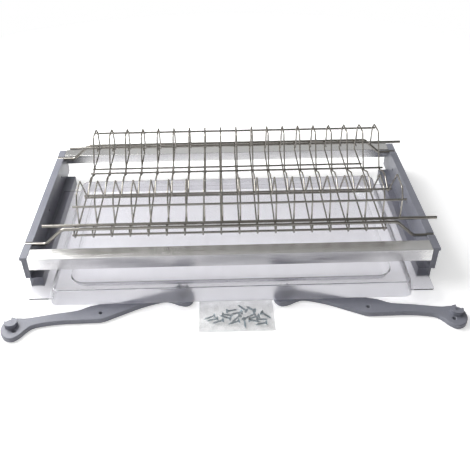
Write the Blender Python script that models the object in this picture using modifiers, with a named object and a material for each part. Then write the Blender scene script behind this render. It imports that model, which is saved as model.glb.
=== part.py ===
"""Cabinet dish drainer: a wire plate rack on a wire glass rack, a frame of two plastic mouldings and two
aluminium profiles, a clear drip tray that slides on the mouldings' rails, and the set that fixes the plate rack
in a cabinet: two plastic arms with clips and a bag of screws.

Metres. X runs along the racks, Y to the rear, Z up. The sizes below are measured from the point on the floor
under the middle of the frame; the whole part is then moved so that its own footprint's middle is the origin.
"""

import math

import bmesh
import bpy
from mathutils import Matrix, Vector

# Clearances
SEAT_GAP = 0.0003
OVERRUN = 0.001

# Frame
FRAME_WIDTH = 0.564
MOULDING_LENGTH = 0.298
FRAME_HEIGHT = 0.0496

# Side mouldings
STRIP_WIDTH = 0.0105
STRIP_THICKNESS = 0.0044
CEILING_THICKNESS = 0.003
LIP_OVERHANG = 0.002
SKIRT_DRAFT = 0.001
SKIRT_BOTTOM = 0.015
MOULDING_WALL = 0.0025
REAR_FOOT_CUT = 0.010
RAIL_WIDTH = 0.0155
RAIL_TOP = 0.0155
RAIL_WALL = 0.0022
RAIL_SHORT_OF_REAR = 0.028
END_SETBACK = 0.0003
RIB_THICKNESS = 0.0018
RIB_DEPTH = 0.022
RIB_COUNT = 5
SEAT_BOSS_WIDTH = 0.012
SEAT_BOSS_DEPTH = 0.014
NOTCH_DEPTH = 0.0047
NOTCH_SIDE_CLEARANCE = 0.0006
WALL_HOLE_RADIUS = 0.002
WALL_HOLE_HEIGHT = 0.033
WALL_HOLE_PLACES_SHARES = (0.30, -0.03)

# Aluminium profiles
PROFILE_DEPTH = 0.0218
PROFILE_REACH = 0.0025
PROFILE_WALL = 0.0015
PROFILE_FACE_HEIGHT = 0.0188
PROFILE_BACK_HEIGHT = 0.0150
TENON_LENGTH = 0.020
TENON_HEIGHT = 0.011

# Wires and rods
WIRE_RADIUS = 0.0011
THIN_ROD_RADIUS = 0.0015
ROD_RADIUS = 0.0022
RACK_MIDDLE_Y = 0.0046

# Glass rack
GLASS_ROD_INSET = 0.0295
GLASS_ROD_SHORTFALL = 0.0005
JOGGLE_INSET = 0.0185
JOGGLE_RUN = 0.0255
JOGGLE_RISE = 0.0233
JOGGLE_BEND = 0.009
GLASS_WIRE_COUNT = 18
GLASS_WIRE_INSET = 0.01585
GLASS_WIRE_REACH = 0.0028
GLASS_TAIL = 0.013
GLASS_LEG_LEAN = 0.0025
GLASS_DEPTH = 0.0143
GLASS_CREST = 0.001
GLASS_SHOULDER_BEND = 0.003
GLASS_THIN_ROD_OVERHANG = 0.0038
GLASS_THIN_ROD_SHARES = (0.59, -0.118)

# Plate rack
PLATE_ROD_BEHIND_GLASS_ROD = 0.0086
PLATE_ROD_SHORTFALL = 0.0117
PLATE_RACK_SHIFT = 0.0141
PLATE_WIRE_COUNT = 19
PLATE_WIRE_INSET = 0.0500
PLATE_WIRE_FOOT = 0.0017
HOOP_OUTER_LEAN = 0.003
HOOP_OUTER_HEIGHT = 0.0303
HOOP_OUTER_BEND = 0.006
HOOP_TOP_OUTER_SHARE = 0.857
HOOP_TOP_OUTER_HEIGHT = 0.0408
HOOP_TOP_OUTER_BEND = 0.006
HOOP_TOP_INNER_SHARE = 0.586
HOOP_HEIGHT = 0.0433
HOOP_TOP_INNER_BEND = 0.005
VALLEY_SHARE = 0.294
VALLEY_DEPTH = 0.0056
CREST_SHARE = 0.072
CREST_HEIGHT = 0.0053
OUTER_RAIL_HEIGHT = 0.0278
PLATE_THIN_ROD_OVERHANG = 0.0052

# Drip tray
TRAY_SHORT_OF_FRAME = 0.0205
TRAY_PULLED_OUT = 0.0480
TRAY_WALL = 0.0014
TRAY_WING_CLEARANCE = 0.0055
TRAY_WING_THICKNESS = 0.0018
TRAY_WING_SETBACK = 0.0025
TRAY_SKIRT_INSET = 0.0185
TRAY_SKIRT_CLEARANCE = 0.0013
TRAY_SKIRT_DRAFT = 0.0035
TRAY_RIM_ABOVE_RAIL = 0.0141
TRAY_RIM_CORNER = 0.010
TRAY_RIM_FRONT_SETBACK = 0.0022
TRAY_RIM_WIDTH = 0.019
TRAY_RIM_FALL = 0.0022
TRAY_BASIN_SETBACK = 0.0032
TRAY_BASIN_CORNER = 0.022
TRAY_FLOOR_BEND = 0.004
TRAY_FLOOR = 0.0148

# Side arms, lying on the floor in front of the frame
ARM_THICKNESS = 0.007
ARM_EDGE = 0.0008
ARM_PAD_OVERHANG = 0.0137
ARM_PAD_TOP = 0.0128
ARM_PAD_BOTTOM = 0.0246
ARM_HOLE_RADIUS = 0.0024
ARM_HOLE_INWARD = 0.003
ARM_HOLE_DOWN = 0.0115
ARM_MIDDLE_HOLE_DOWN = 0.0098
CLIP_RADIUS = 0.00825
CLIP_TOP = 0.0133
CLIP_ROD_CLEARANCE = 0.0003
CLIP_MOUTH = 0.0092
CLIP_TILT = math.radians(27)
CLIP_NECK_HALF_ANGLE = math.radians(70)
LEFT_CLIP_BESIDE_BAG = 0.022185
LEFT_CLIP_BEFORE_FRAME = 0.025775
LEFT_ARM_TURN = math.radians(15.0115)
RIGHT_CLIP_BESIDE_BAG = 0.016995
RIGHT_CLIP_BEFORE_FRAME = 0.030125
RIGHT_ARM_TURN = math.radians(-13.1207)

# One half of an arm's outline: how far along from the middle to the clip's axis, and how far up (to the pad's
# top) or down (to the pad's bottom), the last three round the pad's end by its overhang.
ARM_UPPER_SHARES = (
    (0.0, 0.63), (0.12, 0.57), (0.26, 0.30), (0.50, 0.50), (0.72, 0.60), (0.84, 0.70), (0.92, 0.94), (1.0, 1.0),
)
ARM_END_SHARES = ((0.68, 0.62, 0.0), (1.0, 0.0, 0.22), (0.76, 0.0, 0.74))
ARM_LOWER_SHARES = (
    (1.01, 1.0), (0.915, 0.81), (0.84, 0.50), (0.74, 0.30), (0.49, 0.39), (0.23, 0.66), (0.05, 0.86), (0.0, 0.885),
)

# Screw bag and screws
BAG_WIDTH = 0.097
BAG_LENGTH = 0.060
BAG_THICKNESS = 0.0006
BAG_CORNER = 0.003
BAG_RIGHT_OF_MIDDLE = 0.0048
BAG_BEFORE_FRAME = 0.038
SCREW_LENGTH = 0.016
SCREW_SHANK_RADIUS = 0.0016
SCREW_HEAD_RADIUS = 0.0034
SCREW_HEAD_HEIGHT = 0.0022
SCREW_POINT_LENGTH = 0.004
SCREW_POINT_RADIUS = 0.0003
SCREW_STEPS = 10
# Each screw's place from the bag's middle, as shares of the bag's width and length, and its turn in degrees.
SCREW_PLACES_SHARES = ((-0.245, -0.15, 8), (-0.132, 0.067, 200), (0.095, -0.183, 95), (0.394, -0.317, 5))

# How far the middle of the whole part's footprint lies right of and behind the point under the frame's middle
FOOTPRINT_RIGHT = 0.0032
FOOTPRINT_BEHIND = -0.0524

# Facets and welds
SHARP_OVER = math.radians(40)
CAP_WELD = 0.000003
TURNED_WELD = 0.00003
ROUND_STEPS = 16
BEND_STEPS = 2
CORNER_STEPS = 4
ROD_SIDES_RESOLUTION = 3
WIRE_SIDES_RESOLUTION = 1
OUTLINE_RESOLUTION = 3

# Places worked out from the sizes above
HALF_WIDTH = FRAME_WIDTH / 2
HALF_LENGTH = MOULDING_LENGTH / 2
WALL_FACE = HALF_WIDTH - STRIP_WIDTH
WALL_BACK = WALL_FACE + MOULDING_WALL
SKIRT_TOP = HALF_WIDTH - LIP_OVERHANG
STRIP_UNDERSIDE = FRAME_HEIGHT - STRIP_THICKNESS
CEILING = FRAME_HEIGHT - CEILING_THICKNESS
RAIL_EDGE = WALL_FACE - RAIL_WIDTH
RAIL_END = HALF_LENGTH - RAIL_SHORT_OF_REAR
NOTCH_FLOOR = FRAME_HEIGHT - NOTCH_DEPTH
GLASS_ROD_OFFSET = HALF_LENGTH - GLASS_ROD_INSET
JOGGLE_TO = WALL_FACE - JOGGLE_INSET
JOGGLE_FROM = JOGGLE_TO - JOGGLE_RUN
GLASS_WIRES_HALF_SPAN = JOGGLE_FROM - GLASS_WIRE_INSET
PLATE_ROD_OFFSET = GLASS_ROD_OFFSET - PLATE_ROD_BEHIND_GLASS_ROD
PLATE_ROD_HALF_LENGTH = HALF_WIDTH - PLATE_ROD_SHORTFALL
PLATE_WIRES_HALF_SPAN = PLATE_ROD_HALF_LENGTH - PLATE_WIRE_INSET
PROFILE_OUTER = HALF_LENGTH + PROFILE_REACH
PROFILE_INNER = PROFILE_OUTER - PROFILE_DEPTH
GLASS_ROD_LOW = NOTCH_FLOOR + SEAT_GAP + ROD_RADIUS
GLASS_ROD_HIGH = GLASS_ROD_LOW + JOGGLE_RISE
WIRE_TO_ROD = WIRE_RADIUS + SEAT_GAP + ROD_RADIUS
WIRE_TO_THIN_ROD = WIRE_RADIUS + SEAT_GAP + THIN_ROD_RADIUS
GLASS_SHOULDER_Z = GLASS_ROD_HIGH - WIRE_TO_ROD
GLASS_FLOOR_Z = GLASS_ROD_HIGH - GLASS_DEPTH
PLATE_ROD_Z = GLASS_SHOULDER_Z + WIRE_TO_ROD
TRAY_FRONT = -HALF_LENGTH - TRAY_PULLED_OUT
TRAY_REAR = TRAY_FRONT + MOULDING_LENGTH - TRAY_SHORT_OF_FRAME
TRAY_WING_HALF_WIDTH = WALL_FACE - TRAY_WING_CLEARANCE
TRAY_SKIRT_HALF_WIDTH = RAIL_EDGE - TRAY_SKIRT_INSET
TRAY_SKIRT_BOTTOM = ARM_THICKNESS + TRAY_SKIRT_CLEARANCE
TRAY_RIM_HALF_WIDTH = TRAY_SKIRT_HALF_WIDTH - TRAY_SKIRT_DRAFT
TRAY_RIM_TOP = RAIL_TOP + TRAY_RIM_ABOVE_RAIL
BAG_X = BAG_RIGHT_OF_MIDDLE
BAG_Y = -HALF_LENGTH - BAG_BEFORE_FRAME - BAG_LENGTH / 2
LEFT_CLIP_X = BAG_X - BAG_WIDTH / 2 - LEFT_CLIP_BESIDE_BAG
LEFT_CLIP_PLACE = Vector((LEFT_CLIP_X, -HALF_LENGTH - LEFT_CLIP_BEFORE_FRAME))
RIGHT_CLIP_X = BAG_X + BAG_WIDTH / 2 + RIGHT_CLIP_BESIDE_BAG
RIGHT_CLIP_PLACE = Vector((RIGHT_CLIP_X, -HALF_LENGTH - RIGHT_CLIP_BEFORE_FRAME))

# Which way a flat outline is extruded: its own x and y become the world directions of the first two columns.
ALONG_X = Matrix(((0, 0, 1, 0), (1, 0, 0, 0), (0, 1, 0, 0), (0, 0, 0, 1)))
ALONG_Y = Matrix(((1, 0, 0, 0), (0, 0, -1, 0), (0, 1, 0, 0), (0, 0, 0, 1)))
ALONG_Z = Matrix.Identity(4)


def new_collection(name):
    collection = bpy.data.collections.new(name)
    bpy.context.scene.collection.children.link(collection)
    return collection


def principled(name, colour, roughness, metallic=0.0, alpha=1.0):
    """A material of one plain colour."""
    material = bpy.data.materials.new(name)
    material.use_nodes = True
    shader = material.node_tree.nodes["Principled BSDF"]
    shader.inputs["Base Color"].default_value = (*colour, 1.0)
    shader.inputs["Roughness"].default_value = roughness
    shader.inputs["Metallic"].default_value = metallic
    shader.inputs["Alpha"].default_value = alpha
    return material


def object_of(name, mesh, material=None, collection=None):
    """A named object round a mesh, in the part's collection unless another is given."""
    made = bpy.data.objects.new(name, mesh)
    (collection or PARTS).objects.link(made)
    if material:
        mesh.materials.clear()
        mesh.materials.append(material)
    return made


def mesh_of_curve(curve):
    """The curve as a closed mesh, its caps welded on."""
    carrier = bpy.data.objects.new(curve.name, curve)
    PARTS.objects.link(carrier)
    evaluated = carrier.evaluated_get(bpy.context.evaluated_depsgraph_get())
    mesh = bpy.data.meshes.new_from_object(evaluated)
    bpy.data.objects.remove(carrier)
    shape = bmesh.new()
    shape.from_mesh(mesh)
    bmesh.ops.remove_doubles(shape, verts=shape.verts, dist=CAP_WELD)
    bmesh.ops.recalc_face_normals(shape, faces=shape.faces)
    shape.to_mesh(mesh)
    shape.free()
    return mesh


def smooth(mesh):
    mesh.shade_smooth()
    mesh.set_sharp_from_angle(angle=SHARP_OVER)


def prism(name, outlines, start, end, along, edge=0.0):
    """Flat outlines, the first one the outside and the rest holes, extruded from start to end."""
    curve = bpy.data.curves.new(name, "CURVE")
    curve.dimensions = "2D"
    curve.fill_mode = "BOTH"
    curve.extrude = (end - start) / 2 - edge
    curve.bevel_depth = edge
    curve.offset = -edge
    curve.bevel_resolution = 0
    for points in outlines:
        spline = curve.splines.new("POLY")
        spline.points.add(len(points) - 1)
        for point, (across, up) in zip(spline.points, points):
            point.co = (across, up, 0, 1)
        spline.use_cyclic_u = True
    mesh = mesh_of_curve(curve)
    mesh.transform(Matrix.Translation((0, 0, (start + end) / 2)))
    mesh.transform(along)
    return mesh


def box_mesh(name, low, high):
    """A box between two corners, whichever way round their values come."""
    shape = bmesh.new()
    bmesh.ops.create_cube(shape, size=1)
    size = Vector(abs(b - a) for a, b in zip(low, high))
    middle = Vector((a + b) / 2 for a, b in zip(low, high))
    bmesh.ops.scale(shape, vec=size, verts=shape.verts)
    bmesh.ops.translate(shape, vec=middle, verts=shape.verts)
    mesh = bpy.data.meshes.new(name)
    shape.to_mesh(mesh)
    shape.free()
    return mesh


def cylinder_mesh(name, radius, start, end, along_matrix):
    shape = bmesh.new()
    bmesh.ops.create_cone(
        shape, cap_ends=True, segments=ROUND_STEPS, radius1=radius, radius2=radius, depth=end - start
    )
    mesh = bpy.data.meshes.new(name)
    shape.to_mesh(mesh)
    shape.free()
    mesh.transform(Matrix.Translation((0, 0, (start + end) / 2)))
    mesh.transform(along_matrix)
    return mesh


def combine(target, mesh, operation):
    """A Boolean of the target with a tool body, which stays in the collection of cutters."""
    tool = object_of(f"{target.name}_{mesh.name}", mesh, collection=CUTTERS)
    tool.hide_render = True
    tool.display_type = "WIRE"
    modifier = target.modifiers.new(mesh.name, "BOOLEAN")
    modifier.operation = operation
    modifier.solver = "EXACT"
    modifier.object = tool


def bend(before, corner, after, radius):
    """The centre of the arc that rounds a corner, and the arc's two ends."""
    back = (before - corner).normalized()
    onward = (after - corner).normalized()
    half_angle = back.angle(onward) / 2
    reach = radius / math.tan(half_angle)
    centre = corner + (back + onward).normalized() * radius / math.sin(half_angle)
    return centre, corner + back * reach, corner + onward * reach


def arc(centre, start, end, steps):
    """Points along the short arc from start to end."""
    first = start - centre
    last = end - centre
    sweep = math.atan2(first.x * last.y - first.y * last.x, first.dot(last))
    turns = (Matrix.Rotation(sweep * step / steps, 2) for step in range(steps + 1))
    return [centre + turn @ first for turn in turns]


def rounded_path(corners, radii, steps):
    """An open path whose inner corners become arcs, each of its own radius and number of steps."""
    path = [corners[0]]
    for index, (radius, count) in enumerate(zip(radii, steps), start=1):
        path += arc(*bend(corners[index - 1], corners[index], corners[index + 1], radius), count)
    return path + [corners[-1]]


def rounded_rectangle(half_width, front, rear, corner):
    """Points of a rectangle with round corners, the same number at each corner."""
    points = []
    places = ((half_width - corner, rear - corner), (corner - half_width, rear - corner))
    places += ((corner - half_width, front + corner), (half_width - corner, front + corner))
    for quarter, (x, y) in enumerate(places):
        for step in range(CORNER_STEPS + 1):
            angle = math.pi / 2 * (quarter + step / CORNER_STEPS)
            points.append(Vector((x + corner * math.cos(angle), y + corner * math.sin(angle))))
    return points


def tube_mesh(name, points, radius, resolution):
    """A round wire along a list of 3D points, with flat ends."""
    curve = bpy.data.curves.new(name, "CURVE")
    curve.dimensions = "3D"
    curve.bevel_depth = radius
    curve.bevel_resolution = resolution
    curve.use_fill_caps = True
    spline = curve.splines.new("POLY")
    spline.points.add(len(points) - 1)
    for point, place in zip(spline.points, points):
        point.co = (*place, 1)
    mesh = mesh_of_curve(curve)
    smooth(mesh)
    return mesh


def straight_rod_mesh(name, half_length, radius):
    ends = (Vector((-half_length, 0, 0)), Vector((half_length, 0, 0)))
    return tube_mesh(name, ends, radius, ROD_SIDES_RESOLUTION)


def joint_empty(name, place, parent=None):
    """The empty that a moving body hangs from, on its joint's axis."""
    empty = bpy.data.objects.new(name, None)
    PARTS.objects.link(empty)
    empty.location = place
    if parent:
        empty.parent = parent
        empty.location = Vector(place) - parent.location
    return empty


def side_moulding(name, side, material):
    """Top strip with a lip, outer skirt, inner wall and tray rail, ribbed inside; side is 1 or -1 along X."""
    section = (
        (HALF_WIDTH, FRAME_HEIGHT),
        (HALF_WIDTH, STRIP_UNDERSIDE),
        (SKIRT_TOP, STRIP_UNDERSIDE),
        (SKIRT_TOP - SKIRT_DRAFT, SKIRT_BOTTOM),
        (SKIRT_TOP - SKIRT_DRAFT - MOULDING_WALL, SKIRT_BOTTOM),
        (SKIRT_TOP - MOULDING_WALL, CEILING),
        (WALL_BACK, CEILING),
        (WALL_BACK, 0.0),
        (WALL_FACE, 0.0),
        (WALL_FACE, FRAME_HEIGHT),
    )
    outline = [(side * x, z) for x, z in section]
    moulding = object_of(name, prism(name, [outline], -HALF_LENGTH, HALF_LENGTH, ALONG_Y), material)
    combine(moulding, rail_mesh(side), "UNION")
    for tool in moulding_inner_meshes(side):
        combine(moulding, tool, "UNION")
    for end in (-1, 1):
        combine(moulding, tenon_mesh(side, end), "UNION")
    for tool in moulding_cut_meshes(side):
        combine(moulding, tool, "DIFFERENCE")
    return moulding


def rail_mesh(side):
    """The rail that carries the tray: a top plate and an inner leg, from the front end to short of the rear."""
    section = (
        (WALL_FACE + OVERRUN, RAIL_TOP),
        (RAIL_EDGE, RAIL_TOP),
        (RAIL_EDGE, 0.0),
        (RAIL_EDGE + RAIL_WALL, 0.0),
        (RAIL_EDGE + RAIL_WALL, RAIL_TOP - RAIL_WALL),
        (WALL_FACE + OVERRUN, RAIL_TOP - RAIL_WALL),
    )
    outline = [(side * x, z) for x, z in section]
    # A prism along Y is extruded towards -Y.
    return prism("rail", [outline], -RAIL_END, HALF_LENGTH - END_SETBACK, ALONG_Y)


def moulding_inner_meshes(side):
    """End walls, ribs and the seats under the notches, between the skirt and the inner wall."""
    inner = side * (WALL_FACE + OVERRUN)
    outer = side * (SKIRT_TOP - SKIRT_DRAFT - OVERRUN)
    top = CEILING + OVERRUN
    front = -HALF_LENGTH + END_SETBACK
    yield box_mesh(
        "rail_front",
        (side * (RAIL_EDGE + OVERRUN), front + END_SETBACK, END_SETBACK),
        (inner, front + END_SETBACK + RAIL_WALL, RAIL_TOP - OVERRUN),
    )
    for end in (-1, 1):
        face = end * (HALF_LENGTH - END_SETBACK)
        low = SKIRT_BOTTOM + END_SETBACK
        yield box_mesh(f"end_wall_{end + 1}", (inner, face, low), (outer, face - end * MOULDING_WALL, top))
    for index in range(RIB_COUNT):
        middle = MOULDING_LENGTH * ((index + 1) / (RIB_COUNT + 1) - 1 / 2)
        low = (inner, middle - RIB_THICKNESS / 2, CEILING - RIB_DEPTH)
        yield box_mesh(f"rib_{index + 1}", low, (outer, middle + RIB_THICKNESS / 2, top))
    for index, notch in enumerate(notch_places()):
        low = (inner, notch - SEAT_BOSS_WIDTH / 2, CEILING - SEAT_BOSS_DEPTH)
        yield box_mesh(f"seat_{index + 1}", low, (outer, notch + SEAT_BOSS_WIDTH / 2, top))


def notch_places():
    return (RACK_MIDDLE_Y - GLASS_ROD_OFFSET, RACK_MIDDLE_Y + GLASS_ROD_OFFSET)


def tenon_mesh(side, end):
    """The block that plugs into the end of a profile."""
    clear = PROFILE_WALL + SEAT_GAP
    top = FRAME_HEIGHT - clear
    low = (side * (WALL_FACE - TENON_LENGTH), end * (PROFILE_INNER + clear), top - TENON_HEIGHT)
    flush = HALF_LENGTH - END_SETBACK - SEAT_GAP
    high = (side * (WALL_FACE + OVERRUN), end * min(PROFILE_OUTER - clear, flush), top)
    return box_mesh(f"tenon_{end + 1}", low, high)


def moulding_cut_meshes(side):
    """The notches for the glass rack's rods, the holes in the inner wall and the raised foot at the rear."""
    half_notch = ROD_RADIUS + NOTCH_SIDE_CLEARANCE
    for index, notch in enumerate(notch_places()):
        low = (side * (WALL_FACE - OVERRUN), notch - half_notch, NOTCH_FLOOR)
        high = (side * (HALF_WIDTH + OVERRUN), notch + half_notch, FRAME_HEIGHT + OVERRUN)
        yield box_mesh(f"notch_{index + 1}", low, high)
    yield box_mesh(
        "rear_foot",
        (side * (WALL_FACE - OVERRUN), RAIL_END + OVERRUN, -OVERRUN),
        (side * (WALL_BACK + OVERRUN), HALF_LENGTH + OVERRUN, REAR_FOOT_CUT),
    )
    for index, share in enumerate(WALL_HOLE_PLACES_SHARES):
        place = Matrix.Translation((0, share * MOULDING_LENGTH, WALL_HOLE_HEIGHT))
        start, end = sorted((side * (WALL_FACE - OVERRUN), side * (WALL_BACK + OVERRUN)))
        yield cylinder_mesh(f"wall_hole_{index + 1}", WALL_HOLE_RADIUS, start, end, place @ ALONG_X)


def profile(name, end, material):
    """An aluminium channel, open below, with a deep outer face and a shorter back; end is -1 front, 1 rear."""
    section = (
        (PROFILE_OUTER, FRAME_HEIGHT),
        (PROFILE_INNER, FRAME_HEIGHT),
        (PROFILE_INNER, FRAME_HEIGHT - PROFILE_BACK_HEIGHT),
        (PROFILE_INNER + PROFILE_WALL, FRAME_HEIGHT - PROFILE_BACK_HEIGHT),
        (PROFILE_INNER + PROFILE_WALL, FRAME_HEIGHT - PROFILE_WALL),
        (PROFILE_OUTER - PROFILE_WALL, FRAME_HEIGHT - PROFILE_WALL),
        (PROFILE_OUTER - PROFILE_WALL, FRAME_HEIGHT - PROFILE_FACE_HEIGHT),
        (PROFILE_OUTER, FRAME_HEIGHT - PROFILE_FACE_HEIGHT),
    )
    outline = [(end * y, z) for y, z in section]
    half = WALL_FACE - SEAT_GAP
    return object_of(name, prism(name, [outline], -half, half, ALONG_X), material)


def glass_wire_corners():
    """Half of a glass wire: a tail under the rods, a leg down in front, and the run to the middle, as (Y, Z)."""
    outermost = GLASS_ROD_OFFSET + GLASS_WIRE_REACH
    return (
        Vector((GLASS_ROD_OFFSET - GLASS_TAIL, GLASS_SHOULDER_Z)),
        Vector((outermost, GLASS_SHOULDER_Z)),
        Vector((outermost - GLASS_LEG_LEAN, GLASS_FLOOR_Z)),
        Vector((0, GLASS_FLOOR_Z + GLASS_CREST)),
    )


def mirrored_wire(half_path):
    """The whole bend of a wire in the YZ plane, from a half that ends at the middle or just short of it."""
    other = [Vector((-point.x, point.y)) for point in reversed(half_path) if point.x > SEAT_GAP]
    return [Vector((0, point.x, point.y)) for point in list(half_path) + other]


def glass_rack(parent, chrome):
    """Two joggled rods, the bent wires under them, two thin rods under the wires and one in their front bend."""
    for name, sign in (("glass_rod_front", -1), ("glass_rod_rear", 1)):
        rod = object_of(name, joggled_rod_mesh(name), chrome)
        rod.parent = parent
        rod.location = (0, sign * GLASS_ROD_OFFSET, 0)
    corners = glass_wire_corners()
    radii = (GLASS_SHOULDER_BEND, WIRE_TO_THIN_ROD)
    path = mirrored_wire(rounded_path(corners, radii, (BEND_STEPS, BEND_STEPS)))
    mesh = tube_mesh("glass_wire", path, WIRE_RADIUS, WIRE_SIDES_RESOLUTION)
    wires_in_row("glass_wire", mesh, GLASS_WIRE_COUNT, GLASS_WIRES_HALF_SPAN, 0, parent, chrome)
    for number, (y, z) in enumerate(glass_thin_rod_places(corners), start=1):
        name = f"glass_thin_rod_{number}"
        half_length = GLASS_WIRES_HALF_SPAN + GLASS_THIN_ROD_OVERHANG
        rod = object_of(name, straight_rod_mesh(name, half_length, THIN_ROD_RADIUS), chrome)
        rod.parent = parent
        rod.location = (0, y, z)


def glass_thin_rod_places(corners):
    """Two rods right under the nearly flat run, and one inside the front bend."""
    foot, crest = corners[2], corners[3]
    for share in GLASS_THIN_ROD_SHARES:
        yield share * foot.x, crest.lerp(foot, abs(share)).y - WIRE_TO_THIN_ROD
    nest, _, _ = bend(corners[1], foot, crest, WIRE_TO_THIN_ROD)
    yield -nest.x, nest.y


def joggled_rod_mesh(name):
    """A rod whose ends drop into the notches and whose middle rises to carry the plate rack."""
    half = (
        Vector((HALF_WIDTH - GLASS_ROD_SHORTFALL, GLASS_ROD_LOW)),
        Vector((JOGGLE_TO, GLASS_ROD_LOW)),
        Vector((JOGGLE_FROM, GLASS_ROD_HIGH)),
        Vector((0, GLASS_ROD_HIGH)),
    )
    path = rounded_path(half, (JOGGLE_BEND, JOGGLE_BEND), (BEND_STEPS + 1, BEND_STEPS + 1))[:-1]
    points = [Vector((x, 0, z)) for x, z in path] + [Vector((-x, 0, z)) for x, z in reversed(path)]
    return tube_mesh(name, points, ROD_RADIUS, ROD_SIDES_RESOLUTION)


def wires_in_row(name, mesh, count, half_span, middle, parent, material):
    """Equal wires side by side along X, from end to end of their span, numbered from the left."""
    for index in range(count):
        wire = object_of(f"{name}_{index + 1:02d}", mesh, material)
        wire.parent = parent
        wire.location = (middle + half_span * (2 * index / (count - 1) - 1), 0, 0)


def plate_wire_corners():
    """Half of a plate wire, from its foot beside the rod to the crest, as (Y, Z) in the rack's own frame."""
    foot = PLATE_ROD_OFFSET - WIRE_TO_ROD
    return (
        Vector((foot, PLATE_ROD_Z - PLATE_WIRE_FOOT)),
        Vector((foot - HOOP_OUTER_LEAN, PLATE_ROD_Z + HOOP_OUTER_HEIGHT)),
        Vector((PLATE_ROD_OFFSET * HOOP_TOP_OUTER_SHARE, PLATE_ROD_Z + HOOP_TOP_OUTER_HEIGHT)),
        Vector((PLATE_ROD_OFFSET * HOOP_TOP_INNER_SHARE, PLATE_ROD_Z + HOOP_HEIGHT)),
        Vector((PLATE_ROD_OFFSET * VALLEY_SHARE, PLATE_ROD_Z - VALLEY_DEPTH)),
        Vector((PLATE_ROD_OFFSET * CREST_SHARE, PLATE_ROD_Z + CREST_HEIGHT)),
    )


def plate_rack(parent, chrome):
    """Two straight rods, the hooped wires between them, and four thin rods that tie the wires."""
    corners = plate_wire_corners()
    radii = (HOOP_OUTER_BEND, HOOP_TOP_OUTER_BEND, HOOP_TOP_INNER_BEND, WIRE_TO_THIN_ROD)
    steps = (1, 1, BEND_STEPS, BEND_STEPS)
    path = mirrored_wire(rounded_path(corners, radii, steps))
    mesh = tube_mesh("plate_wire", path, WIRE_RADIUS, WIRE_SIDES_RESOLUTION)
    wires_in_row("plate_wire", mesh, PLATE_WIRE_COUNT, PLATE_WIRES_HALF_SPAN, PLATE_RACK_SHIFT, parent, chrome)
    valley, _, _ = bend(corners[3], corners[4], corners[5], WIRE_TO_THIN_ROD)
    rail = beside(corners[0], corners[1], PLATE_ROD_Z + OUTER_RAIL_HEIGHT, WIRE_TO_THIN_ROD)
    thin_half_length = PLATE_WIRES_HALF_SPAN + PLATE_THIN_ROD_OVERHANG
    rods = (
        ("plate_rod", PLATE_ROD_HALF_LENGTH, ROD_RADIUS, Vector((PLATE_ROD_OFFSET, PLATE_ROD_Z))),
        ("plate_valley_rod", thin_half_length, THIN_ROD_RADIUS, valley),
        ("plate_outer_rail", thin_half_length, THIN_ROD_RADIUS, rail),
    )
    for name, half_length, radius, place in rods:
        for end, sign in (("front", -1), ("rear", 1)):
            rod = object_of(f"{name}_{end}", straight_rod_mesh(name, half_length, radius), chrome)
            rod.parent = parent
            rod.location = (PLATE_RACK_SHIFT, sign * place.x, place.y)


def beside(low, high, height, distance):
    """The point at a distance outside a leaning stretch of wire, level with a height on it."""
    share = (height - low.y) / (high.y - low.y)
    normal = Vector((high.y - low.y, low.x - high.x)).normalized()
    return low.lerp(high, share) + normal * distance


def tray(name, material):
    """A clear moulding: skirt, rim, basin with round corners, and a wing along each side for the rails."""
    basin_half_width = TRAY_RIM_HALF_WIDTH - TRAY_RIM_WIDTH
    rim_front = TRAY_FRONT + TRAY_RIM_FRONT_SETBACK
    rim_rear = TRAY_REAR - TRAY_RIM_FRONT_SETBACK
    basin_front = rim_front + TRAY_RIM_WIDTH
    basin_rear = rim_rear - TRAY_RIM_WIDTH
    rim_inner_z = TRAY_RIM_TOP - TRAY_RIM_FALL
    shrink = TRAY_BASIN_SETBACK
    foot = shrink + TRAY_FLOOR_BEND
    # Half width, front, rear, corner radius and height of each ring, from the skirt's foot to the basin's floor.
    rings = (
        (TRAY_SKIRT_HALF_WIDTH, TRAY_FRONT, TRAY_REAR, TRAY_RIM_CORNER, TRAY_SKIRT_BOTTOM),
        (TRAY_RIM_HALF_WIDTH, rim_front, rim_rear, TRAY_RIM_CORNER, TRAY_RIM_TOP),
        (basin_half_width, basin_front, basin_rear, TRAY_BASIN_CORNER, rim_inner_z),
        (
            basin_half_width - shrink,
            basin_front + shrink,
            basin_rear - shrink,
            TRAY_BASIN_CORNER - shrink,
            TRAY_FLOOR + TRAY_FLOOR_BEND,
        ),
        (basin_half_width - foot, basin_front + foot, basin_rear - foot, TRAY_BASIN_CORNER - foot, TRAY_FLOOR),
    )
    made = object_of(name, ring_shell_mesh(name, rings), material)
    solidify = made.modifiers.new("wall", "SOLIDIFY")
    solidify.thickness = TRAY_WALL
    solidify.offset = 0
    solidify.use_even_offset = True
    for side in (-1, 1):
        combine(made, wing_mesh(side), "UNION")
    return made


def ring_shell_mesh(name, rings):
    """An open surface through rings of equal point counts, closed by a flat face inside the last one."""
    shape = bmesh.new()
    loops = []
    for half_width, front, rear, corner, height in rings:
        outline = rounded_rectangle(half_width, front, rear, corner)
        loops.append([shape.verts.new((point.x, point.y, height)) for point in outline])
    for outer, inner in zip(loops, loops[1:]):
        for index in range(len(outer)):
            follow = (index + 1) % len(outer)
            shape.faces.new((outer[index], outer[follow], inner[follow], inner[index]))
    shape.faces.new(loops[-1])
    bmesh.ops.recalc_face_normals(shape, faces=shape.faces)
    mesh = bpy.data.meshes.new(name)
    shape.to_mesh(mesh)
    shape.free()
    return mesh


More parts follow.
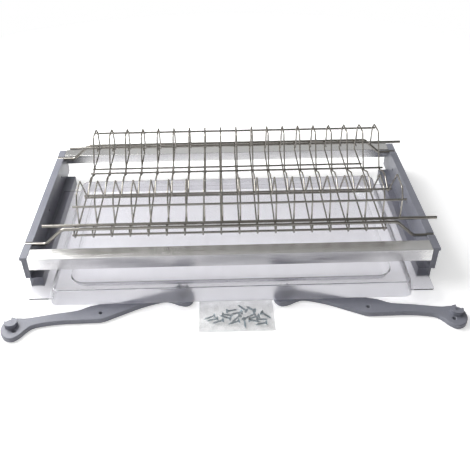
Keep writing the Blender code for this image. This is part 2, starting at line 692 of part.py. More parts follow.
def wing_mesh(side):
    """A flat wing on the rail, its inner edge inside the skirt's wall and round the skirt's front corner."""
    low = RAIL_TOP + SEAT_GAP
    share = (low - TRAY_SKIRT_BOTTOM) / (TRAY_RIM_TOP - TRAY_SKIRT_BOTTOM)
    root = TRAY_SKIRT_HALF_WIDTH - TRAY_SKIRT_DRAFT * share
    front = TRAY_FRONT + TRAY_WING_SETBACK
    rear = TRAY_REAR - TRAY_RIM_CORNER
    corner_inset = TRAY_RIM_CORNER - math.sqrt(TRAY_RIM_CORNER**2 - (TRAY_RIM_CORNER - TRAY_WING_SETBACK) ** 2)
    outline = (
        (root, rear),
        (TRAY_WING_HALF_WIDTH, rear),
        (TRAY_WING_HALF_WIDTH, front),
        (root - corner_inset, front),
        (root, TRAY_FRONT + TRAY_RIM_CORNER),
    )
    points = [(side * x, y) for x, y in outline]
    return prism(f"wing_{side + 1}", [points], low, low + TRAY_WING_THICKNESS, ALONG_Z)


def arm_outline():
    """The closed outline of an arm, its clips' axes on the line through the origin, as smooth curve points."""
    half_span = PLATE_ROD_OFFSET
    half = [Vector((along * half_span, up * ARM_PAD_TOP)) for along, up in ARM_UPPER_SHARES]
    for out, up, down in ARM_END_SHARES:
        height = up * ARM_PAD_TOP - down * ARM_PAD_BOTTOM
        half.append(Vector((half_span + out * ARM_PAD_OVERHANG, height)))
    half += [Vector((along * half_span, -down * ARM_PAD_BOTTOM)) for along, down in ARM_LOWER_SHARES]
    other = [Vector((-point.x, point.y)) for point in reversed(half[1:-1])]
    return smooth_outline(half + other)


def smooth_outline(points):
    """Points on a smooth closed curve through the given ones."""
    made = []
    count = len(points)
    for index in range(count):
        before, start, end, after = (points[(index + offset) % count] for offset in (-1, 0, 1, 2))
        for step in range(OUTLINE_RESOLUTION):
            made.append(through(before, start, end, after, step / OUTLINE_RESOLUTION))
    return made


def through(before, start, end, after, share):
    """A point part of the way from start to end, on the curve through all four points."""
    straight = start * 2
    slope = end - before
    curve = before * 2 - start * 5 + end * 4 - after
    twist = start * 3 - before - end * 3 + after
    return (straight + slope * share + curve * share**2 + twist * share**3) / 2


def circle(centre, radius):
    angles = (math.tau * step / ROUND_STEPS for step in range(ROUND_STEPS))
    return [centre + Vector((math.cos(angle), math.sin(angle))) * radius for angle in angles]


def clip_outline(side):
    """A split ring whose mouth widens outwards to two points; side says which way it leans."""
    bore = ROD_RADIUS + CLIP_ROD_CLEARANCE
    half_mouth = math.asin(CLIP_MOUTH / 2 / CLIP_RADIUS)
    opening = math.pi / 2 - side * CLIP_TILT
    outer_sweep = math.tau - half_mouth * 2
    inner_sweep = math.tau - CLIP_NECK_HALF_ANGLE * 2
    outer = [opening + half_mouth + outer_sweep * step / ROUND_STEPS for step in range(ROUND_STEPS + 1)]
    inner = [opening - CLIP_NECK_HALF_ANGLE - inner_sweep * step / ROUND_STEPS for step in range(ROUND_STEPS + 1)]
    ring = [Vector((math.cos(angle), math.sin(angle))) * CLIP_RADIUS for angle in outer]
    seat = [Vector((math.cos(angle), math.sin(angle))) * bore for angle in inner]
    return ring + seat


def arm(name, inner_clip, side, turn, material):
    """A flat arm with three screw holes and a clip at each end; side says which clip is beside the bag."""
    half_span = PLATE_ROD_OFFSET
    middle = inner_clip - Matrix.Rotation(turn, 2) @ Vector((side * half_span, 0))
    end_hole = half_span - ARM_HOLE_INWARD
    holes = [Vector((-end_hole, -ARM_HOLE_DOWN)), Vector((end_hole, -ARM_HOLE_DOWN))]
    holes.append(Vector((0, -ARM_MIDDLE_HOLE_DOWN)))
    outlines = [arm_outline()] + [circle(centre, ARM_HOLE_RADIUS) for centre in holes]
    made = object_of(name, prism(name, outlines, 0.0, ARM_THICKNESS, ALONG_Z, ARM_EDGE), material)
    made.location = (*middle, 0)
    made.rotation_euler.z = turn
    for end in (-1, 1):
        outline = [point + Vector((end * half_span, 0)) for point in clip_outline(end)]
        clip = prism(f"clip_{end + 1}", [outline], ARM_THICKNESS - OVERRUN, CLIP_TOP, ALONG_Z)
        combine(made, clip, "UNION")
        tool = made.modifiers[-1].object
        tool.location = made.location
        tool.rotation_euler = made.rotation_euler
    return made


def screw_bag(name, material):
    """The bag's film, flat on the floor."""
    across, along = BAG_WIDTH / 2, BAG_LENGTH / 2
    outline = rounded_rectangle(across, -along, along, BAG_CORNER)
    made = object_of(name, prism(name, [outline], 0.0, BAG_THICKNESS, ALONG_Z), material)
    made.location = (BAG_X, BAG_Y, 0)
    return made


def screw(name, place, turn, material):
    """A countersunk screw lying on the bag, on its head's edge and its point's shoulder."""
    shank_end = SCREW_LENGTH - SCREW_POINT_LENGTH
    profile_points = (
        (0.0, 0.0),
        (SCREW_HEAD_RADIUS, 0.0),
        (SCREW_SHANK_RADIUS, -SCREW_HEAD_HEIGHT),
        (SCREW_SHANK_RADIUS, -shank_end),
        (SCREW_POINT_RADIUS, -SCREW_LENGTH),
        (0.0, -SCREW_LENGTH),
    )
    mesh = bpy.data.meshes.new(name)
    edges = [(index, index + 1) for index in range(len(profile_points) - 1)]
    mesh.from_pydata([(r, 0, z) for r, z in profile_points], edges, [])
    made = object_of(name, mesh, material)
    turned = made.modifiers.new("turned", "SCREW")
    turned.steps = SCREW_STEPS
    turned.render_steps = SCREW_STEPS
    turned.use_merge_vertices = True
    turned.merge_threshold = TURNED_WELD
    tilt = math.atan((SCREW_HEAD_RADIUS - SCREW_SHANK_RADIUS) / shank_end)
    height = BAG_THICKNESS + SEAT_GAP + SCREW_HEAD_RADIUS * math.cos(tilt)
    lying = Matrix.Rotation(math.pi / 2 - tilt, 4, "Y")
    made.matrix_world = Matrix.Translation((*place, height)) @ Matrix.Rotation(turn, 4, "Z") @ lying
    return made


def stand_on(base):
    """Hangs whatever has no parent yet from the base, so that the base's place moves the whole part."""
    for made in list(PARTS.objects) + list(CUTTERS.objects):
        if made.parent is None and made is not base:
            made.parent = base


def main():
    base = joint_empty("drainer", (-FOOTPRINT_RIGHT, -FOOTPRINT_BEHIND, 0))
    grey_plastic = principled("grey_plastic", (0.36, 0.37, 0.43), 0.45)
    aluminium = principled("aluminium", (0.72, 0.71, 0.70), 0.35, metallic=1.0)
    chrome = principled("chrome", (0.66, 0.64, 0.60), 0.16, metallic=1.0)
    clear_plastic = principled("clear_plastic", (0.86, 0.86, 0.88), 0.12, alpha=0.35)
    clear_film = principled("clear_film", (0.93, 0.93, 0.95), 0.2, alpha=0.3)
    zinc = principled("zinc", (0.55, 0.60, 0.60), 0.3, metallic=1.0)

    side_moulding("side_moulding_left", -1, grey_plastic)
    side_moulding("side_moulding_right", 1, grey_plastic)
    profile("profile_front", -1, aluminium)
    profile("profile_rear", 1, aluminium)

    rack_place = (0, RACK_MIDDLE_Y, 0)
    glass_lift = joint_empty("glass_rack_lift", rack_place)
    glass_rack(glass_lift, chrome)
    plate_lift = joint_empty("plate_rack_lift", rack_place, glass_lift)
    plate_rack(plate_lift, chrome)

    tray_slide = joint_empty("tray_slide", (0, 0, 0))
    tray("tray", clear_plastic).parent = tray_slide

    arm("arm_left", LEFT_CLIP_PLACE, 1, LEFT_ARM_TURN, grey_plastic)
    arm("arm_right", RIGHT_CLIP_PLACE, -1, RIGHT_ARM_TURN, grey_plastic)
    screw_bag("screw_bag", clear_film)
    for number, (across, along, degrees) in enumerate(SCREW_PLACES_SHARES, start=1):
        place = (BAG_X + across * BAG_WIDTH, BAG_Y + along * BAG_LENGTH)
        screw(f"screw_{number}", place, math.radians(degrees), zinc)
    stand_on(base)


for leftover in list(bpy.data.objects):
    bpy.data.objects.remove(leftover)
PARTS = new_collection("cabinet_dish_drainer")
CUTTERS = new_collection("cutters")
main()
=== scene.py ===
# %% [markdown]
# # A cabinet dish drainer, from its CAD frame to a finished picture
# The real object is a wire plate rack on a wire glass rack, a frame of two moulded plastic sides and two
# aluminium profiles, a clear drip tray, two moulded arms and a small bag of screws. Sizes are read from
# the CAD model, which is loaded first and is never moved, or repeat the values that it was built from. A
# piece that is made here takes its place from the CAD node that it stands for, and rides on the same body,
# so it also moves as that node does.
# %% Load the CAD frame
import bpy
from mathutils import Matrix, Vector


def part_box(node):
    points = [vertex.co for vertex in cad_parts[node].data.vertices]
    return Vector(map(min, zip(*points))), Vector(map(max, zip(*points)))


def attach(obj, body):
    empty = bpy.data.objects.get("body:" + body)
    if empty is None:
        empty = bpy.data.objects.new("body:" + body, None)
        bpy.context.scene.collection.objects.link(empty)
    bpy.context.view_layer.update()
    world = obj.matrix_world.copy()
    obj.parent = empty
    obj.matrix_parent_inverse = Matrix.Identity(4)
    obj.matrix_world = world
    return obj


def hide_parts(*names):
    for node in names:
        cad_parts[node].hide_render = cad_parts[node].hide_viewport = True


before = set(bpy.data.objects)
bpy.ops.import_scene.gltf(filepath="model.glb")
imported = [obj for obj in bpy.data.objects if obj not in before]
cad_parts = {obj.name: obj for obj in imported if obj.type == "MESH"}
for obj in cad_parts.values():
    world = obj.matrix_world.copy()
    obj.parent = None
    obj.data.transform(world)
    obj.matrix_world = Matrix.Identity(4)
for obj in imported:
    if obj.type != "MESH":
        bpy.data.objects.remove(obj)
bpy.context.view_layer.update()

# %% Blender's own modules
import math
import random

import bmesh
import bpy
from bmesh.types import BMEdge, BMVert
from mathutils import Matrix, Vector

MM = 0.001

# %% [markdown]
# ## The camera
# The photograph was taken from in front and above. A camera is set by where it stands, how far it looks
# down, how far it turns and leans, and its focal length in pixels. These were measured once on the
# photograph, from the frame's corners. All that follows is in the object's own measure.
# %% Camera
PICTURE_SIDE = 470
SENSOR_SIDE = 36.0
FOCAL_PIXELS = 666.4
CAMERA_PLACE = Vector((-0.0139, -0.8049, 0.5874))
CAMERA_PITCH = math.radians(35.64)
CAMERA_YAW = math.radians(1.30)
CAMERA_ROLL = math.radians(-0.60)


def placed(name, data):
    """A new object in the scene."""
    made = bpy.data.objects.new(name, data)
    bpy.context.scene.collection.objects.link(made)
    return made


camera_data = bpy.data.cameras.new("camera")
camera_data.sensor_width = SENSOR_SIDE
camera_data.lens = FOCAL_PIXELS / PICTURE_SIDE * SENSOR_SIDE
camera = placed("camera", camera_data)
turned = Matrix.Rotation(-CAMERA_YAW, 4, "Z") @ Matrix.Rotation(math.pi / 2 - CAMERA_PITCH, 4, "X")
camera.matrix_world = Matrix.Translation(CAMERA_PLACE) @ turned @ Matrix.Rotation(CAMERA_ROLL, 4, "Z")
bpy.context.scene.camera = camera
bpy.context.scene.view_settings.view_transform = "Standard"
print("lens", round(camera_data.lens, 2), "mm")

# %% [markdown]
# ## Node helpers
# A finish is a tree of shader nodes. Short helpers keep the trees readable. The first ones add a node and
# set its values, join two sockets, start a material or a node group, and place a group in a material.
# %% Helpers for node trees
def add_node(tree, kind, **settings):
    """A node of a kind, with attributes set by name and inputs set by their own names."""
    node = tree.nodes.new(kind)
    for name, value in settings.items():
        if hasattr(node, name):
            setattr(node, name, value)
        else:
            node.inputs[name.replace("_", " ")].default_value = value
    return node


def join(tree, source, target):
    """Feeds a socket from another one, or sets it where the source is a plain value."""
    if isinstance(source, bpy.types.NodeSocket):
        tree.links.new(source, target)
    else:
        target.default_value = source


def new_finish(name, **values):
    """A material with one Principled shader, whose plain values are set on its own sockets."""
    material = bpy.data.materials.new(name)
    material.use_nodes = True
    tree = material.node_tree
    shader = tree.nodes["Principled BSDF"]
    for socket, value in values.items():
        shader.inputs[socket.replace("_", " ")].default_value = value
    return material, tree, shader


def new_group(name, inputs, outputs):
    """An empty node group with its ends, whose inputs are given with the values they start from."""
    group = bpy.data.node_groups.new(name, "ShaderNodeTree")
    for title, value in inputs.items():
        kind = "NodeSocketVector" if title == "Vector" else "NodeSocketFloat"
        socket = group.interface.new_socket(name=title, in_out="INPUT", socket_type=kind)
        if kind == "NodeSocketFloat":
            socket.default_value = value
    for title in outputs:
        group.interface.new_socket(name=title, in_out="OUTPUT", socket_type="NodeSocketFloat")
    return group, group.nodes.new("NodeGroupInput"), group.nodes.new("NodeGroupOutput")


def place_group(tree, group, **values):
    """The group as a node of a material, fed with the piece's own coordinates."""
    node = add_node(tree, "ShaderNodeGroup", node_tree=group, **values)
    coordinates = add_node(tree, "ShaderNodeTexCoord")
    join(tree, coordinates.outputs["Object"], node.inputs["Vector"])
    return node


print("helpers for trees ready")

# %% [markdown]
# A few kinds of node turn up again and again. Each has a helper that gives back the socket to read from,
# so that a finish is written as values made from values.
# %% Helpers for single nodes
# A Mix node's sockets for numbers, vectors and colours share their names, so the colours are found by number
FIRST_COLOUR, SECOND_COLOUR, MIXED_COLOUR = 6, 7, 2


def noise(tree, vector, scale, **settings):
    """Noise from about 0 to 1, finer with a larger scale."""
    node = add_node(tree, "ShaderNodeTexNoise", **settings)
    join(tree, vector, node.inputs["Vector"])
    join(tree, scale, node.inputs["Scale"])
    return node.outputs["Fac"]


def combined(tree, operation, first, second, clamp=False):
    """Two values, or a value and a number, put together by a Math node."""
    node = add_node(tree, "ShaderNodeMath", operation=operation, use_clamp=clamp)
    join(tree, first, node.inputs[0])
    join(tree, second, node.inputs[1])
    return node.outputs["Value"]


def ranged(tree, source, start=0.0, end=1.0, low=0.0, high=1.0, kind="LINEAR"):
    """A value that goes from low to high while the source goes from start to end."""
    node = add_node(tree, "ShaderNodeMapRange", From_Min=start, From_Max=end, To_Min=low, To_Max=high)
    node.interpolation_type = kind
    join(tree, source, node.inputs["Value"])
    return node.outputs["Result"]


def two_tones(tree, mask, first, second):
    """Two colours mixed by a mask. Each is a plain colour or another mix."""
    node = add_node(tree, "ShaderNodeMix", data_type="RGBA")
    join(tree, mask, node.inputs["Factor"])
    for number, colour in ((FIRST_COLOUR, first), (SECOND_COLOUR, second)):
        join(tree, (*colour, 1) if isinstance(colour, tuple) else colour, node.inputs[number])
    return node.outputs[MIXED_COLOUR]


def mixed_shaders(tree, factor, first, second):
    node = add_node(tree, "ShaderNodeMixShader")
    for source, target in zip((factor, first, second), node.inputs):
        join(tree, source, target)
    return node.outputs["Shader"]


def bump(tree, shader, height, strength, distance):
    node = add_node(tree, "ShaderNodeBump", Strength=strength, Distance=distance)
    join(tree, height, node.inputs["Height"])
    join(tree, node.outputs["Normal"], shader.inputs["Normal"])


print("helpers for single nodes ready")

# %% [markdown]
# ## Shared effects
# Three effects are each a node group that is built once: the fine grain of a moulded or cast surface, the
# lines that brushing leaves along a bar, and the marks of handling, which are soft smudges and a little
# dust. Grain and marks turn up on most of the finishes. A group puts out masks only. The finish decides
# what they change.
# %% Grain
def grain_group():
    inputs = {"Vector": None, "Size": 2500.0, "Mottle": 60.0}
    group, ends, out = new_group("grain", inputs, ("Height", "Mottle"))
    fine = noise(group, ends.outputs["Vector"], ends.outputs["Size"], Detail=3.0, Roughness=0.6)
    join(group, fine, out.inputs["Height"])
    broad = noise(group, ends.outputs["Vector"], ends.outputs["Mottle"], Detail=4.0, Roughness=0.55)
    join(group, broad, out.inputs["Mottle"])
    return group


GRAIN = grain_group()
print("group", GRAIN.name)


# %% Brushed lines
def drawn_lines_group():
    inputs = {"Vector": None, "Length": 4.0, "Fineness": 1800.0}
    group, ends, out = new_group("drawn_lines", inputs, ("Lines",))
    stretch = add_node(group, "ShaderNodeCombineXYZ")
    for axis, title in (("X", "Length"), ("Y", "Fineness"), ("Z", "Fineness")):
        join(group, ends.outputs[title], stretch.inputs[axis])
    stretched = add_node(group, "ShaderNodeVectorMath", operation="MULTIPLY")
    join(group, ends.outputs["Vector"], stretched.inputs[0])
    join(group, stretch.outputs["Vector"], stretched.inputs[1])
    lines = noise(group, stretched.outputs["Vector"], 1.0, Detail=4.0, Roughness=0.7)
    join(group, lines, out.inputs["Lines"])
    return group


DRAWN_LINES = drawn_lines_group()
print("group", DRAWN_LINES.name)

# %% Handling marks
# The noise's values between which a smudge or a speck of dust comes in
SMUDGE_EDGE = (0.42, 0.72)
SPECK_EDGE = (0.68, 0.76)
SPECK_FINENESS = 900.0


def handling_group():
    inputs = {"Vector": None, "Size": 18.0, "Amount": 0.5}
    group, ends, out = new_group("handling", inputs, ("Marks", "Dust"))
    place, size, amount = (ends.outputs[title] for title in inputs)
    smudge = noise(group, place, size, Detail=5.0, Roughness=0.55, Distortion=0.8)
    soft = ranged(group, smudge, *SMUDGE_EDGE, kind="SMOOTHSTEP")
    join(group, combined(group, "MULTIPLY", soft, amount, clamp=True), out.inputs["Marks"])
    specks = noise(group, place, SPECK_FINENESS, Detail=2.0)
    join(group, ranged(group, specks, *SPECK_EDGE, kind="SMOOTHSTEP"), out.inputs["Dust"])
    return group


HANDLING = handling_group()
print("group", HANDLING.name)

# %% [markdown]
# ## Grey moulded plastic
# The sides and the arms are injection moulded in one blue-grey plastic. Its skin is a fine spark-eroded
# grain with a low sheen, so the shader stays dielectric. The grain drives a very shallow bump, the mottle
# moves the colour a little, as the flow of the melt does, and handling marks dull the sheen.
# %% Grey plastic
GREY_TONES = ((0.200, 0.206, 0.247), (0.258, 0.265, 0.307))
DUST_TONE = (0.42, 0.42, 0.44)


def grey_plastic():
    material, tree, shader = new_finish("grey_moulded_plastic", IOR=1.49)
    grain = place_group(tree, GRAIN, Size=2600.0, Mottle=45.0)
    marks = place_group(tree, HANDLING, Size=26.0, Amount=0.6)
    moulded = two_tones(tree, grain.outputs["Mottle"], *GREY_TONES)
    join(tree, two_tones(tree, marks.outputs["Dust"], moulded, DUST_TONE), shader.inputs["Base Color"])
    join(tree, ranged(tree, marks.outputs["Marks"], low=0.36, high=0.52), shader.inputs["Roughness"])
    bump(tree, shader, grain.outputs["Height"], strength=0.35, distance=0.05 * MM)
    return material


GREY_PLASTIC = grey_plastic()
print("finish", GREY_PLASTIC.name)

# %% [markdown]
# ## Aluminium
# The two cross profiles are extruded aluminium, brushed along their length and clear anodised. The lines
# run along X, so the noise is stretched that way. They vary the colour and the roughness in streaks, and a
# strong fine bump draws each reflection out across the bar, as brushing does. Handling marks dull it a
# little.
# %% Aluminium
ALUMINIUM_TONES = ((0.78, 0.775, 0.765), (0.93, 0.925, 0.915))


def aluminium():
    material, tree, shader = new_finish("brushed_aluminium", Metallic=1.0)
    lines = place_group(tree, DRAWN_LINES, Length=3.0, Fineness=1500.0)
    marks = place_group(tree, HANDLING, Size=14.0, Amount=0.7)
    tone = two_tones(tree, lines.outputs["Lines"], *ALUMINIUM_TONES)
    join(tree, tone, shader.inputs["Base Color"])
    streaked = ranged(tree, lines.outputs["Lines"], low=0.12, high=0.26)
    dulled = ranged(tree, marks.outputs["Marks"], low=0.0, high=0.07)
    join(tree, combined(tree, "ADD", streaked, dulled), shader.inputs["Roughness"])
    bump(tree, shader, lines.outputs["Lines"], strength=1.0, distance=0.18 * MM)
    return material


ALUMINIUM = aluminium()
print("finish", ALUMINIUM.name)

# %% [markdown]
# ## Polished stainless wire
# The racks are steel wire, drawn, welded and polished: a mirror with a warm tone. What such thin bars show
# is nearly all reflection, so the finish stays smooth, with faint handling marks that dull it in patches.
# %% Wire
WIRE_TONES = ((0.33, 0.315, 0.285), (0.50, 0.48, 0.445))
# A dark tint for the glancing reflection, which paints shade along the edges of the bars
PAINTED_DARK_EDGE_TONE = (0.36, 0.345, 0.32, 1)


def polished_wire():
    material, tree, shader = new_finish("polished_wire", Metallic=1.0, Specular_Tint=PAINTED_DARK_EDGE_TONE)
    grain = place_group(tree, GRAIN, Size=1400.0, Mottle=35.0)
    marks = place_group(tree, HANDLING, Size=30.0, Amount=0.8)
    tone = two_tones(tree, grain.outputs["Mottle"], *WIRE_TONES)
    join(tree, tone, shader.inputs["Base Color"])
    join(tree, ranged(tree, marks.outputs["Marks"], low=0.10, high=0.26), shader.inputs["Roughness"])
    bump(tree, shader, grain.outputs["Height"], strength=0.06, distance=0.02 * MM)
    return material


POLISHED_WIRE = polished_wire()
print("finish", POLISHED_WIRE.name)

# %% [markdown]
# ## Clear plastic
# The drip tray is one clear moulding, about 1.4 mm thick. It is real glass-like refraction, so it needs a
# wall with two faces, and its Transmission Weight is a plain 1. A moulded sheet is never quite flat: a
# slow waviness bends what is seen through it, and handling marks haze it. The mould's outer side is less
# polished, so the skirt is frosted and blurs what lies behind it, while the wings stay clear and show the
# rails. Lamps would leave a dark patch under the tray, since a renderer rarely finds the light that goes
# through glass, so for shadow rays the tray is a pale tint.
# %% Clear plastic
TRAY_LOW, TRAY_HIGH = (Vector(corner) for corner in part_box("tray"))
TRAY_MIDDLE = (TRAY_LOW + TRAY_HIGH) / 2
SKIRT_HALF_WIDTH = 237.5 * MM
SKIRT_HALF_LENGTH = (TRAY_HIGH.y - TRAY_LOW.y) / 2
# Where the frosting begins and is full, in shares of the skirt's half width and half length, and where, in
# shares of the half width, the clear wings begin
FROSTED_FROM, FROSTED_TO, WINGS_FROM = 0.970, 0.985, 1.006
FROST = 0.22
# The tray's grey is partly the plastic's own tint and partly painted shade of the floor seen through it
CLEAR_TINT_AND_SHADE_TONES = ((0.75, 0.745, 0.78), (0.83, 0.825, 0.855))
LAMPLIGHT_TINT = (0.74, 0.74, 0.77, 1)


def lets_lamps_through(tree, shader, tint):
    """Puts a tinted Transparent shader in place of the shader for the rays that lamps send."""
    passes = add_node(tree, "ShaderNodeBsdfTransparent", Color=tint)
    path = add_node(tree, "ShaderNodeLightPath")
    shadow = path.outputs["Is Shadow Ray"]
    either = mixed_shaders(tree, shadow, shader.outputs["BSDF"], passes.outputs["BSDF"])
    join(tree, either, tree.nodes["Material Output"].inputs["Surface"])


def frosting(tree):
    """FROST on the outer skirt, and 0 inside it and on the wings, by how far out a point lies."""
    across, along = 1 / SKIRT_HALF_WIDTH, 1 / SKIRT_HALF_LENGTH
    back = (-TRAY_MIDDLE.x * across, -TRAY_MIDDLE.y * along, 0)
    place = add_node(tree, "ShaderNodeTexCoord")
    centred = add_node(tree, "ShaderNodeMapping", Scale=(across, along, 0), Location=back)
    join(tree, place.outputs["Object"], centred.inputs["Vector"])
    outward = add_node(tree, "ShaderNodeVectorMath", operation="ABSOLUTE")
    join(tree, centred.outputs["Vector"], outward.inputs[0])
    split = add_node(tree, "ShaderNodeSeparateXYZ")
    join(tree, outward.outputs["Vector"], split.inputs["Vector"])
    furthest = combined(tree, "MAXIMUM", split.outputs["X"], split.outputs["Y"])
    edge = ranged(tree, furthest, FROSTED_FROM, FROSTED_TO, high=FROST)
    inside_wing = combined(tree, "LESS_THAN", split.outputs["X"], WINGS_FROM)
    return combined(tree, "MULTIPLY", edge, inside_wing)


def clear_plastic():
    material, tree, shader = new_finish("clear_plastic", IOR=1.57, Transmission_Weight=1.0)
    waves = place_group(tree, GRAIN, Size=55.0, Mottle=12.0)
    marks = place_group(tree, HANDLING, Size=22.0, Amount=0.6)
    tone = two_tones(tree, waves.outputs["Mottle"], *CLEAR_TINT_AND_SHADE_TONES)
    join(tree, tone, shader.inputs["Base Color"])
    haze = ranged(tree, marks.outputs["Marks"], low=0.11, high=0.24)
    join(tree, combined(tree, "ADD", haze, frosting(tree)), shader.inputs["Roughness"])
    bump(tree, shader, waves.outputs["Height"], strength=0.5, distance=0.12 * MM)
    lets_lamps_through(tree, shader, LAMPLIGHT_TINT)
    return material


CLEAR_PLASTIC = clear_plastic()
print("finish", CLEAR_PLASTIC.name)

# %% [markdown]
# ## Bag film and zinc
# The bag is thin polythene film, which has no thickness to bend light. It is a faint milky skin with a
# soft gloss, so it is made by a low Alpha that grows a little in patches. The screws are steel with a
# bluish zinc plating: a metal, duller and darker than the wires, with cloudy patches.
# %% Film and zinc
FILM_TONE = (0.62, 0.625, 0.64, 1)
ZINC_TONES = ((0.09, 0.145, 0.175), (0.31, 0.39, 0.43))


def clear_film():
    material, tree, shader = new_finish("clear_film", Base_Color=FILM_TONE, IOR=1.5)
    grain = place_group(tree, GRAIN, Size=240.0, Mottle=90.0)
    join(tree, ranged(tree, grain.outputs["Mottle"], low=0.14, high=0.42), shader.inputs["Alpha"])
    join(tree, ranged(tree, grain.outputs["Mottle"], low=0.12, high=0.3), shader.inputs["Roughness"])
    bump(tree, shader, grain.outputs["Height"], strength=0.3, distance=0.2 * MM)
    return material


def zinc():
    material, tree, shader = new_finish("zinc_plating", Metallic=1.0)
    grain = place_group(tree, GRAIN, Size=1800.0, Mottle=220.0)
    tone = two_tones(tree, grain.outputs["Mottle"], *ZINC_TONES)
    join(tree, tone, shader.inputs["Base Color"])
    join(tree, ranged(tree, grain.outputs["Mottle"], low=0.2, high=0.38), shader.inputs["Roughness"])
    bump(tree, shader, grain.outputs["Height"], strength=0.15, distance=0.02 * MM)
    return material


CLEAR_FILM = clear_film()
ZINC = zinc()
print("finishes", CLEAR_FILM.name, ZINC.name)

# %% [markdown]
# ## Making a piece
# Each piece is drawn in a bmesh and shaped with operators. When it is done it becomes a mesh object at the
# origin, smooth shaded with sharp edges kept, rides on a CAD body and hides the CAD nodes that it stands for.
# %% Turn a finished bmesh into a piece
SHARP_OVER = math.radians(40)
WELD = 0.001 * MM


def clean(shape):
    """Merges doubled points and turns the faces outwards."""
    bmesh.ops.remove_doubles(shape, verts=shape.verts, dist=WELD)
    bmesh.ops.recalc_face_normals(shape, faces=shape.faces)


def mesh_of(name, shape):
    """A mesh made from a bmesh, which is freed."""
    mesh = bpy.data.meshes.new(name)
    shape.to_mesh(mesh)
    shape.free()
    return mesh


def finished_piece(name, shape, material, body, nodes=()):
    """A bmesh made a piece, which rides on a body and stands for the CAD nodes."""
    clean(shape)
    mesh = mesh_of(name, shape)
    mesh.shade_smooth()
    mesh.set_sharp_from_angle(angle=SHARP_OVER)
    mesh.materials.append(material)
    piece = placed(name, mesh)
    even = piece.modifiers.new("even_shading", "WEIGHTED_NORMAL")
    even.keep_sharp = True
    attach(piece, body)
    if nodes:
        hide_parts(*nodes)
    return piece


print("edges are sharp over", round(math.degrees(SHARP_OVER)), "degrees")


# %% Read the CAD nodes and shape with operators
def nodes_named(start):
    return sorted(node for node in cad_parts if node.startswith(start))


def centre_of(node):
    low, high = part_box(node)
    return (Vector(low) + Vector(high)) / 2


def size_of(node):
    low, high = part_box(node)
    return Vector(high) - Vector(low)


def only(kind, geometry):
    """The points, or the edges, among what an operator gives back."""
    return [part for part in geometry if isinstance(part, kind)]


def bevelled(shape, geometry, width, segments, affect="EDGES", clamp=True):
    """A round bevel, and what it made."""
    return bmesh.ops.bevel(
        shape, geom=geometry, offset=width, offset_type="OFFSET", affect=affect,
        segments=segments, profile=0.5, material=-1, clamp_overlap=clamp,
    )


print("a plate wire is", [round(side / MM, 1) for side in size_of("plate_wire_01")], "mm")

# %% [markdown]
# ## Bending wire
# A wire bender feeds a straight bar and turns it round a pin. The same two moves make the mesh: a rim of
# points is extruded for each straight run and spun round the pin's centre for each bend. That gives true
# arcs, which a chain of straight pieces never does. The cut ends are capped and get a small chamfer.
# %% Wire bender
BEND_FACETS = 6
END_CHAMFER_SHARE = 0.28
END_CHAMFER_SEGMENTS = 2


def pin(before, corner, after, radius):
    """Where the bend at a corner starts, its centre and axis, and how far it turns."""
    onward_in = (corner - before).normalized()
    onward_out = (after - corner).normalized()
    turn = onward_in.angle(onward_out)
    reach = radius * math.tan(turn / 2)
    start = corner - onward_in * reach
    inward = (onward_out - onward_in).normalized()
    centre = corner + inward * radius / math.cos(turn / 2)
    return start, centre, onward_in.cross(onward_out).normalized(), turn


def feed(shape, rim, run):
    """The rim extruded by a straight run of wire."""
    grown = bmesh.ops.extrude_edge_only(shape, edges=rim)["geom"]
    bmesh.ops.translate(shape, verts=only(BMVert, grown), vec=run)
    return only(BMEdge, grown)


def turn_round(shape, rim, centre, axis, turn):
    """The rim spun round a pin."""
    around = list({vert for edge in rim for vert in edge.verts}) + rim
    swept = bmesh.ops.spin(shape, geom=around, cent=centre, axis=axis, angle=turn, steps=BEND_FACETS)
    return only(BMEdge, swept["geom_last"])


def bent_wire(corners, radii, thickness, sides):
    """A round bar through the corners, bent at each inner one with its own radius."""
    shape = bmesh.new()
    direction = (corners[1] - corners[0]).normalized()
    stand = Matrix.Translation(corners[0]) @ direction.to_track_quat("Z", "Y").to_matrix().to_4x4()
    disc = bmesh.ops.create_circle(shape, cap_ends=True, segments=sides, radius=thickness / 2, matrix=stand)
    first = list({edge for vert in disc["verts"] for edge in vert.link_edges})
    rim, at = first, corners[0]
    for index, radius in enumerate(radii, start=1):
        start, centre, axis, turn = pin(*corners[index - 1:index + 2], radius)
        rim = feed(shape, rim, start - at)
        rim = turn_round(shape, rim, centre, axis, turn)
        at = Matrix.Rotation(turn, 3, axis) @ (start - centre) + centre
    last = feed(shape, rim, corners[-1] - at)
    bmesh.ops.edgeloop_fill(shape, edges=last)
    bevelled(shape, first + last, thickness * END_CHAMFER_SHARE / 2, END_CHAMFER_SEGMENTS)
    return shape


print("bends are turned in", BEND_FACETS, "facets")

# %% [markdown]
# ## The plate rack
# Nineteen wires stand side by side. Each starts beside the front rod, rises to a hoop that holds a plate's
# edge, slants down to a thin rod in the valley, crosses a low crest and does the same in mirror image to
# the rear rod. The corners below are half of that path, measured from the rod's middle line, and the other
# half is mirrored. Bending one wire and moving it along keeps all nineteen alike, as one tool makes them.
# %% Plate wires
PLATE_WIRES = nodes_named("plate_wire_")
WIRE_SIDES = 12
PLATE_ROD = centre_of("plate_rod_front")
PLATE_MIDDLE = centre_of("plate_wire_01").y
PLATE_ROD_OFFSET = PLATE_MIDDLE - PLATE_ROD.y
WIRE_THICKNESS = size_of("plate_wire_01").x
ROD_THICKNESS = size_of("plate_rod_front").y
THIN_ROD_THICKNESS = size_of("plate_valley_rod_front").y
SEAT_GAP = 0.3 * MM
WIRE_TO_ROD = (WIRE_THICKNESS + ROD_THICKNESS) / 2 + SEAT_GAP
WIRE_TO_THIN_ROD = (WIRE_THICKNESS + THIN_ROD_THICKNESS) / 2 + SEAT_GAP
